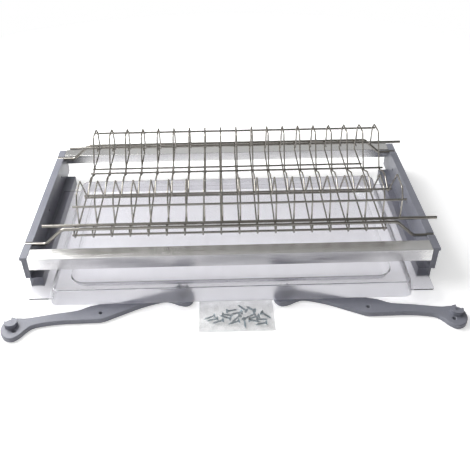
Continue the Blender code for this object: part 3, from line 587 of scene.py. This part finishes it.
# Each corner's distance out from the rack's middle, and its height over the thick rod's middle line
PLATE_WIRE_HALF = (
    (PLATE_ROD_OFFSET - WIRE_TO_ROD, -1.7 * MM),
    (PLATE_ROD_OFFSET - WIRE_TO_ROD - 3.0 * MM, 30.3 * MM),
    (95.0 * MM, 40.65 * MM),
    (65.0 * MM, 43.15 * MM),
    (32.6 * MM, -5.6 * MM),
    (8.0 * MM, 5.3 * MM),
)
PLATE_WIRE_BENDS = (6.0 * MM, 6.0 * MM, 5.0 * MM, WIRE_TO_THIN_ROD, 6.0 * MM)


def whole_path(half, x, middle_y, base_z):
    """Half a wire's corners, mirrored about the rack's middle."""
    front = [Vector((x, middle_y - out, base_z + up)) for out, up in half]
    rear = [Vector((x, middle_y + out, base_z + up)) for out, up in reversed(half)]
    return front + rear


def bend_rack_wires(nodes, body, half, bends, middle_y, base_z):
    """A rack's wires, each at the place of its CAD node."""
    for node in nodes:
        path = whole_path(half, centre_of(node).x, middle_y, base_z)
        shape = bent_wire(path, bends + bends[::-1], WIRE_THICKNESS, WIRE_SIDES)
        finished_piece(f"bent_{node}", shape, POLISHED_WIRE, body, (node,))


bend_rack_wires(PLATE_WIRES, "plate_rack", PLATE_WIRE_HALF, PLATE_WIRE_BENDS, PLATE_MIDDLE, PLATE_ROD.z)
print(len(PLATE_WIRES), "plate wires bent, each", round(WIRE_THICKNESS / MM, 2), "mm thick")

# %% [markdown]
# ## The glass rack
# Its eighteen wires are hooks. Each has a short tail welded under the joggled rod, turns down outside it,
# turns back at the foot and runs nearly flat to the other side, where it ends in the same hook. The rods
# themselves drop at each end, so that their tips lie in the notches of the frame while their middles carry
# the plate rack.
# %% Glass wires
GLASS_WIRES = nodes_named("glass_wire_")
GLASS_MIDDLE = centre_of("glass_wire_01").y
GLASS_ROD_OFFSET = GLASS_MIDDLE - centre_of("glass_rod_front").y
GLASS_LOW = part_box("glass_wire_01")[0][2] + WIRE_THICKNESS / 2
GLASS_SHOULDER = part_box("glass_wire_01")[1][2] - WIRE_THICKNESS / 2 - GLASS_LOW
GLASS_CREST = 1.0 * MM
MIDDLE_STRETCH = 9.0 * MM
# Each corner's distance out from the rack's middle, and its height over the hook's foot
GLASS_WIRE_HALF = (
    (GLASS_ROD_OFFSET - 13.0 * MM, GLASS_SHOULDER),
    (GLASS_ROD_OFFSET + 2.8 * MM, GLASS_SHOULDER),
    (GLASS_ROD_OFFSET + 0.3 * MM, 0.0),
    (MIDDLE_STRETCH, GLASS_CREST * (1 - MIDDLE_STRETCH / GLASS_ROD_OFFSET)),
)
GLASS_WIRE_BENDS = (3.0 * MM, WIRE_TO_THIN_ROD, 20.0 * MM)

bend_rack_wires(GLASS_WIRES, "glass_rack", GLASS_WIRE_HALF, GLASS_WIRE_BENDS, GLASS_MIDDLE, GLASS_LOW)
print(len(GLASS_WIRES), "glass wires bent, each", round(size_of("glass_wire_01").y / MM, 1), "mm deep")

# %% Rods
ROD_SIDES = 20
JOGGLE_BEND = 9.0 * MM
JOGGLE_FROM = 227.5 * MM
JOGGLE_TO = 253.0 * MM
JOGGLED_RODS = ("glass_rod_front", "glass_rod_rear")
STRAIGHT_RODS = {
    "glass_rack": ("glass_thin_rod_1", "glass_thin_rod_2", "glass_thin_rod_3"),
    "plate_rack": (
        "plate_rod_front", "plate_rod_rear", "plate_valley_rod_front", "plate_valley_rod_rear",
        "plate_outer_rail_front", "plate_outer_rail_rear",
    ),
}


def straight_rod(node, body):
    low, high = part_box(node)
    middle = centre_of(node)
    ends = [Vector((x, middle.y, middle.z)) for x in (low[0], high[0])]
    shape = bent_wire(ends, (), high[1] - low[1], ROD_SIDES)
    finished_piece(f"polished_{node}", shape, POLISHED_WIRE, body, (node,))


def joggled_rod(node):
    low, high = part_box(node)
    middle = centre_of(node)
    down, up = low[2] + ROD_THICKNESS / 2, high[2] - ROD_THICKNESS / 2
    right = ((high[0] - middle.x, down), (JOGGLE_TO, down), (JOGGLE_FROM, up))
    corners = [Vector((middle.x - x, middle.y, z)) for x, z in right]
    corners += [Vector((middle.x + x, middle.y, z)) for x, z in reversed(right)]
    shape = bent_wire(corners, (JOGGLE_BEND,) * (len(corners) - 2), ROD_THICKNESS, ROD_SIDES)
    finished_piece(f"joggled_{node}", shape, POLISHED_WIRE, "glass_rack", (node,))


for body, rods in STRAIGHT_RODS.items():
    for node in rods:
        straight_rod(node, body)
for node in JOGGLED_RODS:
    joggled_rod(node)
print("rods", sum(len(rods) for rods in STRAIGHT_RODS.values()) + len(JOGGLED_RODS))

# %% [markdown]
# ## Weld nuggets
# Wires and rods are joined by resistance welding: the crossing is squeezed and fused, which leaves a small
# smooth swelling. The CAD model keeps a hair of room between the two bars, and the swelling fills it.
# There are about two hundred, so each is a low sphere of a few dozen faces, squashed between the bars. One
# mesh for each rack holds them all.
# %% Weld nuggets
NUGGET_RADIUS = 1.5 * MM
NUGGET_SECTORS = 8
NUGGET_RINGS = 6
UPRIGHT = (1.15, 0.55, 1.0)
LYING = (1.15, 1.0, 0.55)
# Each rod, the way along Y and Z from it to the wires, and how its nuggets are squashed
PLATE_JOINTS = (
    ("plate_rod_front", (1, 0), UPRIGHT), ("plate_rod_rear", (-1, 0), UPRIGHT),
    ("plate_outer_rail_front", (1, 0), UPRIGHT), ("plate_outer_rail_rear", (-1, 0), UPRIGHT),
    ("plate_valley_rod_front", (0, -1), LYING), ("plate_valley_rod_rear", (0, -1), LYING),
)
THIN_ROD_JOINTS = (
    ("glass_thin_rod_1", (0, 1), LYING), ("glass_thin_rod_2", (0, 1), LYING),
    ("glass_thin_rod_3", (0, -1), LYING),
)


def nugget(shape, place, squash):
    made = bmesh.ops.create_uvsphere(
        shape, u_segments=NUGGET_SECTORS, v_segments=NUGGET_RINGS, radius=NUGGET_RADIUS,
    )["verts"]
    bmesh.ops.scale(shape, vec=squash, verts=made)
    bmesh.ops.translate(shape, vec=place, verts=made)


def row_of_nuggets(shape, wires, rod, toward, squash):
    """A nugget at each wire, on the side of the rod that faces the wires."""
    middle = centre_of(rod)
    reach = Vector((0, *toward)) * (size_of(rod).y / 2)
    for wire in wires:
        nugget(shape, Vector((centre_of(wire).x, middle.y, middle.z)) + reach, squash)


shape = bmesh.new()
for joint in PLATE_JOINTS:
    row_of_nuggets(shape, PLATE_WIRES, *joint)
finished_piece("plate_rack_welds", shape, POLISHED_WIRE, "plate_rack")

shape = bmesh.new()
for rod in JOGGLED_RODS:
    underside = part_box(rod)[1][2] - ROD_THICKNESS
    for wire in GLASS_WIRES:
        nugget(shape, Vector((centre_of(wire).x, centre_of(rod).y, underside)), LYING)
for joint in THIN_ROD_JOINTS:
    row_of_nuggets(shape, GLASS_WIRES, *joint)
finished_piece("glass_rack_welds", shape, POLISHED_WIRE, "glass_rack")
print("welds on", len(PLATE_WIRES) + len(GLASS_WIRES), "wires")

# %% [markdown]
# ## Carried-over CAD pieces
# The sides, the profiles and the arms already have their shape in the CAD model. A copy of such a mesh is
# loose triangles, so it is welded, its flat faces are made whole again, and its hard corners get a fine
# round, because no moulded or drawn edge is a true knife edge and the light shows it.
# %% Softened copies of CAD nodes
FLAT_WITHIN = math.radians(0.5)
HARD_CORNER = math.radians(35)
MOULDED_EDGE = 0.3 * MM
DRAWN_EDGE = 0.55 * MM
EDGE_SEGMENTS = 2


def softened_copy(node, name, material, edge_round):
    shape = bmesh.new()
    shape.from_mesh(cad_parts[node].data)
    bmesh.ops.remove_doubles(shape, verts=shape.verts, dist=WELD)
    bmesh.ops.dissolve_limit(shape, angle_limit=FLAT_WITHIN, verts=shape.verts, edges=shape.edges)
    hard = [e for e in shape.edges if len(e.link_faces) == 2 and e.calc_face_angle() > HARD_CORNER]
    bevelled(shape, hard, edge_round, EDGE_SEGMENTS)
    finished_piece(name, shape, material, "frame", (node,))


for side in ("left", "right"):
    softened_copy(f"side_moulding_{side}", f"moulded_side_{side}", GREY_PLASTIC, MOULDED_EDGE)
    softened_copy(f"arm_{side}", f"moulded_arm_{side}", GREY_PLASTIC, MOULDED_EDGE)
for end in ("front", "rear"):
    softened_copy(f"profile_{end}", f"drawn_profile_{end}", ALUMINIUM, DRAWN_EDGE)
print("softened copies made")

# %% [markdown]
# ## The drip tray
# The tray is one clear moulding: a basin with round corners, a rim round it, a skirt outside, and a flat
# wing along each side that slides on the frame's rails. Five outlines, each a plane whose corners are
# bevelled, are bridged into one sheet. Its folds are bevelled too, because refraction draws every fold as
# a line.
# %% Tray sheet
TRAY_WALL = 1.4 * MM
TRAY_HALF_LENGTH = (TRAY_HIGH.y - TRAY_LOW.y - TRAY_WALL) / 2
TRAY_CORNER_FACETS = 10
# From outside to inside, in millimetres: an outline's half width, its distance in from the skirt's foot, its
# corner radius and its height
TRAY_OUTLINES = (
    (237.5, 0.0, 10.0, 8.3),
    (234.0, 2.2, 10.0, 29.6),
    (215.0, 21.2, 22.0, 27.4),
    (211.8, 24.4, 18.8, 18.8),
    (207.8, 28.4, 14.8, 14.8),
)
TRAY_FOLDS = (1.6 * MM, 1.8 * MM, 2.2 * MM, 2.2 * MM)
FOLD_SEGMENTS = 4


def rounded_plane(shape, half_width, inward, corner, height):
    """A flat face with round corners."""
    made = bmesh.ops.create_grid(shape, x_segments=1, y_segments=1, size=1)["verts"]
    bmesh.ops.scale(shape, vec=(half_width * MM, TRAY_HALF_LENGTH - inward * MM, 1), verts=made)
    bmesh.ops.translate(shape, vec=(TRAY_MIDDLE.x, TRAY_MIDDLE.y, height * MM), verts=made)
    rounded = bevelled(shape, made, corner * MM, TRAY_CORNER_FACETS, affect="VERTICES", clamp=False)
    return rounded["verts"][0].link_faces[0]


def tray_sheet():
    shape = bmesh.new()
    planes = [rounded_plane(shape, *outline) for outline in TRAY_OUTLINES]
    loops = [list(plane.edges) for plane in planes]
    bmesh.ops.delete(shape, geom=planes[:-1], context="FACES_ONLY")
    for outer, inner in zip(loops, loops[1:]):
        bmesh.ops.bridge_loops(shape, edges=outer + inner)
    for loop, fold in zip(loops[1:], TRAY_FOLDS):
        bevelled(shape, loop, fold, FOLD_SEGMENTS)
    bmesh.ops.recalc_face_normals(shape, faces=shape.faces)
    return shape


print("outlines in the tray", len(TRAY_OUTLINES))

# %% [markdown]
# A wing is a plate whose inner edge hides in the skirt's wall and follows its front corner. A Solidify
# modifier gives the sheet its wall, and Booleans join the wings, so that the plastic is one body with no
# face inside it, which is what clear material needs. The result is read back as a bmesh, so no modifier
# stays on the piece.
# %% Tray wings and wall
WING_BOTTOM = 15.8 * MM
WING_THICKNESS = 1.8 * MM
WING_ROOT = 236.3 * MM
WING_CORNER_STEP = 3.4 * MM
WING_SETBACK = 2.5 * MM
WING_CORNER = 3.0 * MM
WING_CORNER_FACETS = 5
TRAY_CORNER = 10.0 * MM


def wing(side):
    """One wing, drawn on the right and mirrored for the left."""
    front = TRAY_MIDDLE.y - TRAY_HALF_LENGTH
    rear = TRAY_MIDDLE.y + TRAY_HALF_LENGTH - TRAY_CORNER
    reach = (TRAY_HIGH.x - TRAY_LOW.x) / 2
    shape = bmesh.new()
    made = bmesh.ops.create_grid(shape, x_segments=1, y_segments=1, size=0.5)["verts"]
    bmesh.ops.scale(shape, vec=(reach - WING_ROOT, rear - front - WING_SETBACK, 1), verts=made)
    middle = Vector(((reach + WING_ROOT) / 2, (rear + front + WING_SETBACK) / 2, WING_BOTTOM))
    bmesh.ops.translate(shape, vec=middle, verts=made)
    inner = next(e for e in shape.edges if all(v.co.x < middle.x for v in e.verts))
    split = bmesh.ops.subdivide_edges(shape, edges=[inner], cuts=1)["geom_inner"]
    only(BMVert, split)[0].co.y = front + TRAY_CORNER
    min(shape.verts, key=lambda vert: (round(vert.co.x, 4), vert.co.y)).co.x -= WING_CORNER_STEP
    outer = [v for v in shape.verts if v.co.x > middle.x]
    bevelled(shape, outer, WING_CORNER, WING_CORNER_FACETS, affect="VERTICES")
    grown = bmesh.ops.extrude_face_region(shape, geom=list(shape.faces))["geom"]
    bmesh.ops.translate(shape, vec=(0, 0, WING_THICKNESS), verts=only(BMVert, grown))
    bmesh.ops.scale(shape, vec=(side, 1, 1), verts=shape.verts)
    bmesh.ops.translate(shape, vec=(TRAY_MIDDLE.x, 0, 0), verts=shape.verts)
    bmesh.ops.recalc_face_normals(shape, faces=shape.faces)
    return shape


def stand_in(name, shape):
    """A passing object round a bmesh, so that modifiers can work on it."""
    return placed(name, mesh_of(name, shape))


def boolean_result(base, tools, operation):
    """The bmesh that the base becomes when each tool is joined to it or cut from it."""
    for tool in tools:
        step = base.modifiers.new(tool.name, "BOOLEAN")
        step.operation = operation
        step.solver = "EXACT"
        step.object = tool
    shape = bmesh.new()
    shape.from_object(base, bpy.context.evaluated_depsgraph_get())
    for passing in (base, *tools):
        bpy.data.objects.remove(passing)
    return shape


sheet = stand_in("tray_sheet", tray_sheet())
wall = sheet.modifiers.new("wall", "SOLIDIFY")
wall.thickness = TRAY_WALL
wall.offset = 0
wall.use_even_offset = True
wings = [stand_in(f"wing_{side + 1}", wing(side)) for side in (-1, 1)]
shape = boolean_result(sheet, wings, "UNION")
finished_piece("clear_tray", shape, CLEAR_PLASTIC, "tray", ("tray",))

# %% [markdown]
# ## The screws
# The real ones are small countersunk chipboard screws. The body is a profile spun round its axis, the
# thread is a small triangle spun while it also moves along, which gives a true helix, and the cross in the
# head is cut by a Boolean. One screw is made, and every other is a copy of it.
# %% One screw
SCREW_LENGTH = 16.0 * MM
HEAD_RADIUS = 3.4 * MM
CREST_RADIUS = 1.6 * MM
CORE_RADIUS = 1.1 * MM
POINT_LENGTH = 4.0 * MM
SCREW_SIDES = 14
THREAD_PITCH = 1.5 * MM
THREAD_TURNS = 8
THREAD_FACETS = 9
THREAD_ROOT = CORE_RADIUS * 0.9
# Radius and height along the screw's axis of the thread's section where it starts
THREAD_RIDGE = ((THREAD_ROOT, -3.0 * MM), (CREST_RADIUS, -3.35 * MM), (THREAD_ROOT, -3.7 * MM))
TIP_SHARE = 0.12
WEDGE_SIZE = (3.6 * MM, 0.75 * MM, 2.6 * MM)
WEDGE_TAPER = (0.45, 0.8, 1)
# Radius and height of the body's outline, in millimetres, from the middle of the head to the point
SCREW_PROFILE = (
    (0.0, 0.0), (3.15, 0.0), (3.4, -0.2), (3.35, -0.45), (1.75, -2.1), (1.3, -2.8), (1.1, -3.2),
    (1.1, -12.0), (0.12, -15.9), (0.0, -16.0),
)


def spun(shape, points, steps, angle, along):
    """An open profile spun round Z, moving along Z at each step."""
    verts = [shape.verts.new((radius, 0, height)) for radius, height in points]
    edges = [shape.edges.new(pair) for pair in zip(verts, verts[1:])]
    bmesh.ops.spin(
        shape, geom=verts + edges, cent=(0, 0, 0), axis=(0, 0, 1), dvec=(0, 0, along), angle=angle,
        steps=steps, use_merge=along == 0,
    )


def wedge(turn):
    """One blade of a cross driver's tip, wider above."""
    shape = bmesh.new()
    made = bmesh.ops.create_cube(shape, size=1)["verts"]
    bmesh.ops.scale(shape, vec=WEDGE_SIZE, verts=made)
    bmesh.ops.scale(shape, vec=WEDGE_TAPER, verts=[v for v in made if v.co.z < 0])
    bmesh.ops.rotate(shape, cent=(0, 0, 0), matrix=Matrix.Rotation(turn, 3, "Z"), verts=made)
    return stand_in("wedge", shape)


def one_screw():
    """A screw along Z: the flat of its head at the origin, its point below."""
    shape = bmesh.new()
    spun(shape, [(r * MM, z * MM) for r, z in SCREW_PROFILE], SCREW_SIDES, math.tau, 0)
    clean(shape)
    shape = boolean_result(stand_in("screw_body", shape), [wedge(0), wedge(math.pi / 2)], "DIFFERENCE")
    steps = THREAD_TURNS * THREAD_FACETS
    spun(shape, THREAD_RIDGE, steps, THREAD_TURNS * math.tau, -THREAD_PITCH / THREAD_FACETS)
    for vert in shape.verts:
        past = (-vert.co.z - (SCREW_LENGTH - POINT_LENGTH)) / POINT_LENGTH
        if past > 0 and Vector(vert.co[:2]).length > CORE_RADIUS * (1 - past):
            vert.co.x *= max(1 - past, TIP_SHARE)
            vert.co.y *= max(1 - past, TIP_SHARE)
    return shape


SCREW = mesh_of("screw_pattern", one_screw())
print("a screw has", len(SCREW.polygons), "faces")

# %% [markdown]
# ## The pile of screws
# Four screws lie where the CAD model has them. The others are dropped among them by trial: each tries a
# place and a turn from a fixed seed, lying flat or with its point on a neighbour, and stays at the first
# one where it touches nothing. Each screw is seen as a row of balls for that test. All of them stay under
# 8 mm, because the tray's skirt passes over them.
# %% Drop the screws
BAG_LOW, BAG_HIGH = (Vector(corner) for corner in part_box("screw_bag"))
BAG_MIDDLE = (BAG_LOW + BAG_HIGH) / 2
BAG_SIZE = BAG_HIGH - BAG_LOW
# Each CAD screw's place, in shares of the bag's sides from its middle, and its turn in degrees
SCREW_SHARES = ((-0.245, -0.15, 8), (-0.132, 0.067, 200), (0.095, -0.183, 95), (0.394, -0.317, 5))
TILT = math.atan((HEAD_RADIUS - CREST_RADIUS) / (SCREW_LENGTH - POINT_LENGTH))
# A dropped screw lies flat in half of the tries, and has its point up on a neighbour in the others
TILTS = (TILT, TILT, -0.11, -0.18)
OVER_FILM = 0.3 * MM
HEAD_HEIGHT = BAG_HIGH.z + OVER_FILM + HEAD_RADIUS * math.cos(TILT)
EXTRA_SCREWS = 14
PILE_MIDDLE = BAG_MIDDLE + Vector((4.0 * MM, -4.0 * MM, 0))
PILE_HALF = Vector((32.0 * MM, 11.5 * MM))
SCATTER = 0.9
PILE_TOP = 7.9 * MM
SEED = 11
TRIALS = 6000
# Distance along the screw and radius of each ball, in millimetres
BALLS = ((0.6, 3.1), (2.4, 1.9), (4.4, 1.6), (6.4, 1.6), (8.4, 1.6), (10.4, 1.6), (12.4, 1.5), (14.6, 0.7))


def lying(place, turn, tilt):
    """Where a screw lies: its head's middle, its turn about Z and how far its point dips."""
    turned = Matrix.Rotation(turn, 4, "Z") @ Matrix.Rotation(math.pi / 2 - tilt, 4, "Y")
    return Matrix.Translation(place) @ turned


def balls_of(stand):
    return [(stand @ Vector((0, 0, -along * MM)), radius * MM) for along, radius in BALLS]


def free_of(balls, others):
    """Whether none of a screw's balls reaches into another screw's, the bag's film or the pile's top."""
    for place, radius in balls:
        if place.z + radius > PILE_TOP or place.z - radius < BAG_HIGH.z:
            return False
        if any((place - other).length < radius + reach for other, reach in others):
            return False
    return True


dice = random.Random(SEED)
stands, taken = [], []
for across, along, degrees in SCREW_SHARES:
    place = Vector((BAG_MIDDLE.x + across * BAG_SIZE.x, BAG_MIDDLE.y + along * BAG_SIZE.y, HEAD_HEIGHT))
    stands.append(lying(place, math.radians(degrees), TILT))
    taken += balls_of(stands[-1])
for trial in range(TRIALS):
    if len(stands) == len(SCREW_SHARES) + EXTRA_SCREWS:
        break
    angle, far = dice.uniform(0, math.tau), math.sqrt(dice.random())
    offset = Vector((PILE_HALF.x * far * math.cos(angle), PILE_HALF.y * far * math.sin(angle), 0))
    place = PILE_MIDDLE + offset
    place.z = HEAD_HEIGHT
    turn = dice.choice((0, math.pi)) + dice.uniform(-SCATTER, SCATTER)
    stand = lying(place, turn, dice.choice(TILTS))
    if free_of(balls_of(stand), taken):
        stands.append(stand)
        taken += balls_of(stand)
print("screws dropped", len(stands), "after", trial, "trials")

# %% Screw pieces
cad_screws = len(SCREW_SHARES)
for number, stand in enumerate(stands[:cad_screws], start=1):
    shape = bmesh.new()
    shape.from_mesh(SCREW)
    shape.transform(stand)
    finished_piece(f"threaded_screw_{number}", shape, ZINC, "frame", (f"screw_{number}",))
shape = bmesh.new()
for stand in stands[cad_screws:]:
    before = len(shape.verts)
    shape.from_mesh(SCREW)
    shape.verts.ensure_lookup_table()
    bmesh.ops.transform(shape, matrix=stand, verts=shape.verts[before:])
finished_piece("more_screws", shape, ZINC, "frame")
print("screw pieces made for", cad_screws, "CAD screws and", len(stands) - cad_screws, "more")

# %% [markdown]
# ## The bag
# The bag is two sheets of film, welded round the edge. The lower one lies flat. The upper one is drawn as
# a grid that starts flat, is lifted wherever a screw is under it, and is relaxed over and over, each point
# moving to the mean of its neighbours but never into a screw, as film under a little tension settles. The
# side seams curl up slightly, which is where such a bag catches the light.
# %% Bag
FILM_CELLS = (66, 40)
FILM_GAP = 0.12 * MM
FILM_REST = 0.45 * MM
UNDER_FILM = 0.08 * MM
SEAM_CELLS = 2
SEAM_CURL = 1.5 * MM
CURL_WIDTH = 4.0 * MM
CURL_WAVE = 0.25
WAVES_PER_METRE = 140
RELAX_ROUNDS = 260
SAG_STEP = 0.0018 * MM


def film_sheet(shape, height):
    """A grid over the bag's outline."""
    made = bmesh.ops.create_grid(shape, x_segments=FILM_CELLS[0], y_segments=FILM_CELLS[1], size=0.5)["verts"]
    bmesh.ops.scale(shape, vec=(BAG_SIZE.x, BAG_SIZE.y, 1), verts=made)
    bmesh.ops.translate(shape, vec=(BAG_MIDDLE.x, BAG_MIDDLE.y, height), verts=made)
    return made


def lift_at(x, y):
    """How high the film has to be over the screws at a point."""
    best = FILM_REST
    for ball, radius in taken:
        reach = radius + FILM_GAP
        left = reach * reach - (ball.x - x) ** 2 - (ball.y - y) ** 2
        if left > 0:
            best = max(best, ball.z + math.sqrt(left))
    return best


def drape(verts):
    """Relaxes the upper film over the screws, its seams held."""
    low = {vert: lift_at(vert.co.x, vert.co.y) for vert in verts}
    near = {vert: [edge.other_vert(vert) for edge in vert.link_edges] for vert in verts}
    seam = {vert for vert in verts if vert.is_boundary}
    for step in range(SEAM_CELLS - 1):
        seam |= {other for vert in list(seam) for other in near[vert]}
    free = [vert for vert in verts if vert not in seam]
    for vert in free:
        vert.co.z = low[vert]
    for step in range(RELAX_ROUNDS):
        for vert in free:
            level = sum(other.co.z for other in near[vert]) / len(near[vert])
            vert.co.z = max(low[vert], level - SAG_STEP)


def curl(verts):
    """Bends the side seams up."""
    for vert in verts:
        inside = min(vert.co.x - BAG_LOW.x, BAG_HIGH.x - vert.co.x)
        if inside < CURL_WIDTH:
            wave = 1 - CURL_WAVE + CURL_WAVE * math.sin(vert.co.y * WAVES_PER_METRE)
            vert.co.z += SEAM_CURL * wave * (1 - inside / CURL_WIDTH) ** 2


shape = bmesh.new()
under = film_sheet(shape, UNDER_FILM)
over = film_sheet(shape, FILM_REST)
bmesh.ops.reverse_faces(shape, faces=list({face for vert in under for face in vert.link_faces}))
drape(over)
curl(under + over)
rims = [edge for edge in shape.edges if edge.is_boundary]
bmesh.ops.bridge_loops(shape, edges=rims)
bag = finished_piece("film_bag", shape, CLEAR_FILM, "frame", ("screw_bag",))
print("the bag is", round(max(vert.co.z for vert in bag.data.vertices) / MM, 1), "mm high")

# %% [markdown]
# ## The studio
# The photograph shows a white table and a pale background, a soft main light from the left and a darker
# room to the right, which gives the metal dark edges; on the wires a dark glancing tint adds painted edge
# shade. The floor is white for the camera, for reflections and through the tray, while it still takes the
# object's shadow close by. Further out it fades to plain white.
# %% Floor
FLOOR_HALF = 6.0
PAPER_TONE = (0.86, 0.86, 0.86, 1)
SHADOW_REACH = 0.62
FADE_REACH = 1.1
FLOOR_GLOW = 0.48


def floor_finish():
    """Lit paper with some glow close by, and plain white further out, where a ray sees the floor."""
    material = bpy.data.materials.new("white_table")
    material.use_nodes = True
    tree = material.node_tree
    tree.nodes.remove(tree.nodes["Principled BSDF"])
    path = add_node(tree, "ShaderNodeLightPath")
    seen = combined(tree, "ADD", path.outputs["Is Camera Ray"], path.outputs["Is Glossy Ray"])
    seen = combined(tree, "ADD", seen, path.outputs["Is Transmission Ray"], clamp=True)
    paper = add_node(tree, "ShaderNodeBsdfDiffuse", Color=PAPER_TONE)
    glow = add_node(tree, "ShaderNodeEmission")
    join(tree, combined(tree, "MULTIPLY", seen, FLOOR_GLOW), glow.inputs["Strength"])
    lit = add_node(tree, "ShaderNodeAddShader")
    join(tree, paper.outputs["BSDF"], lit.inputs[0])
    join(tree, glow.outputs["Emission"], lit.inputs[1])
    plain = add_node(tree, "ShaderNodeEmission")
    join(tree, seen, plain.inputs["Strength"])
    place = add_node(tree, "ShaderNodeTexCoord")
    distance = add_node(tree, "ShaderNodeVectorMath", operation="LENGTH")
    join(tree, place.outputs["Object"], distance.inputs[0])
    fade = ranged(tree, distance.outputs["Value"], SHADOW_REACH, FADE_REACH, kind="SMOOTHSTEP")
    either = mixed_shaders(tree, fade, lit.outputs["Shader"], plain.outputs["Emission"])
    join(tree, either, tree.nodes["Material Output"].inputs["Surface"])
    return material


shape = bmesh.new()
bmesh.ops.create_grid(shape, x_segments=1, y_segments=1, size=FLOOR_HALF)
floor = placed("floor", mesh_of("floor", shape))
floor.data.materials.append(floor_finish())
print("floor", 2 * FLOOR_HALF, "m wide")

# %% Lamps
# Each lamp's place, the point that it faces, its side in metres and its power in watts
LAMPS = {
    "main_softbox": ((-0.8, 0.3, 0.9), (-0.05, 0.0, 0.0), 0.8, 14),
    "rear_window": ((-1.35, 1.35, 1.2), (-0.1, 0.0, 0.0), 0.9, 12),
    "rear_panel": ((0.35, 1.6, 1.35), (0.0, 0.0, 0.0), 1.9, 3.2),
    "front_fill": ((-0.7, -1.5, 0.9), (0.0, 0.0, 0.0), 1.1, 1.6),
}

for name, (place, target, side, watts) in LAMPS.items():
    light = bpy.data.lights.new(name, "AREA")
    light.shape = "SQUARE"
    light.size = side
    light.energy = watts
    away = Vector(place) - Vector(target)
    turned = away.to_track_quat("Z", "Y").to_matrix().to_4x4()
    placed(name, light).matrix_world = Matrix.Translation(place) @ turned
print("lamps", len(LAMPS))

# %% World
# How far to the left and to the right the room's light changes, and its strength at those ends
WORLD_ENDS = (-0.75, 0.35)
WORLD_STRENGTHS = (0.62, 0.16)


def room():
    """A room that is brighter to the left, and plain white where the camera sees it."""
    world = bpy.data.worlds.new("room")
    world.use_nodes = True
    tree = world.node_tree
    background = tree.nodes["Background"]
    place = add_node(tree, "ShaderNodeTexCoord")
    split = add_node(tree, "ShaderNodeSeparateXYZ")
    join(tree, place.outputs["Generated"], split.inputs["Vector"])
    across = ranged(tree, split.outputs["X"], *WORLD_ENDS, *WORLD_STRENGTHS, kind="SMOOTHSTEP")
    path = add_node(tree, "ShaderNodeLightPath")
    strength = combined(tree, "MAXIMUM", across, path.outputs["Is Camera Ray"])
    join(tree, strength, background.inputs["Strength"])
    join(tree, (1, 1, 1, 1), background.inputs["Color"])
    return world


bpy.context.scene.world = room()
print("world strength from left to right", WORLD_STRENGTHS)
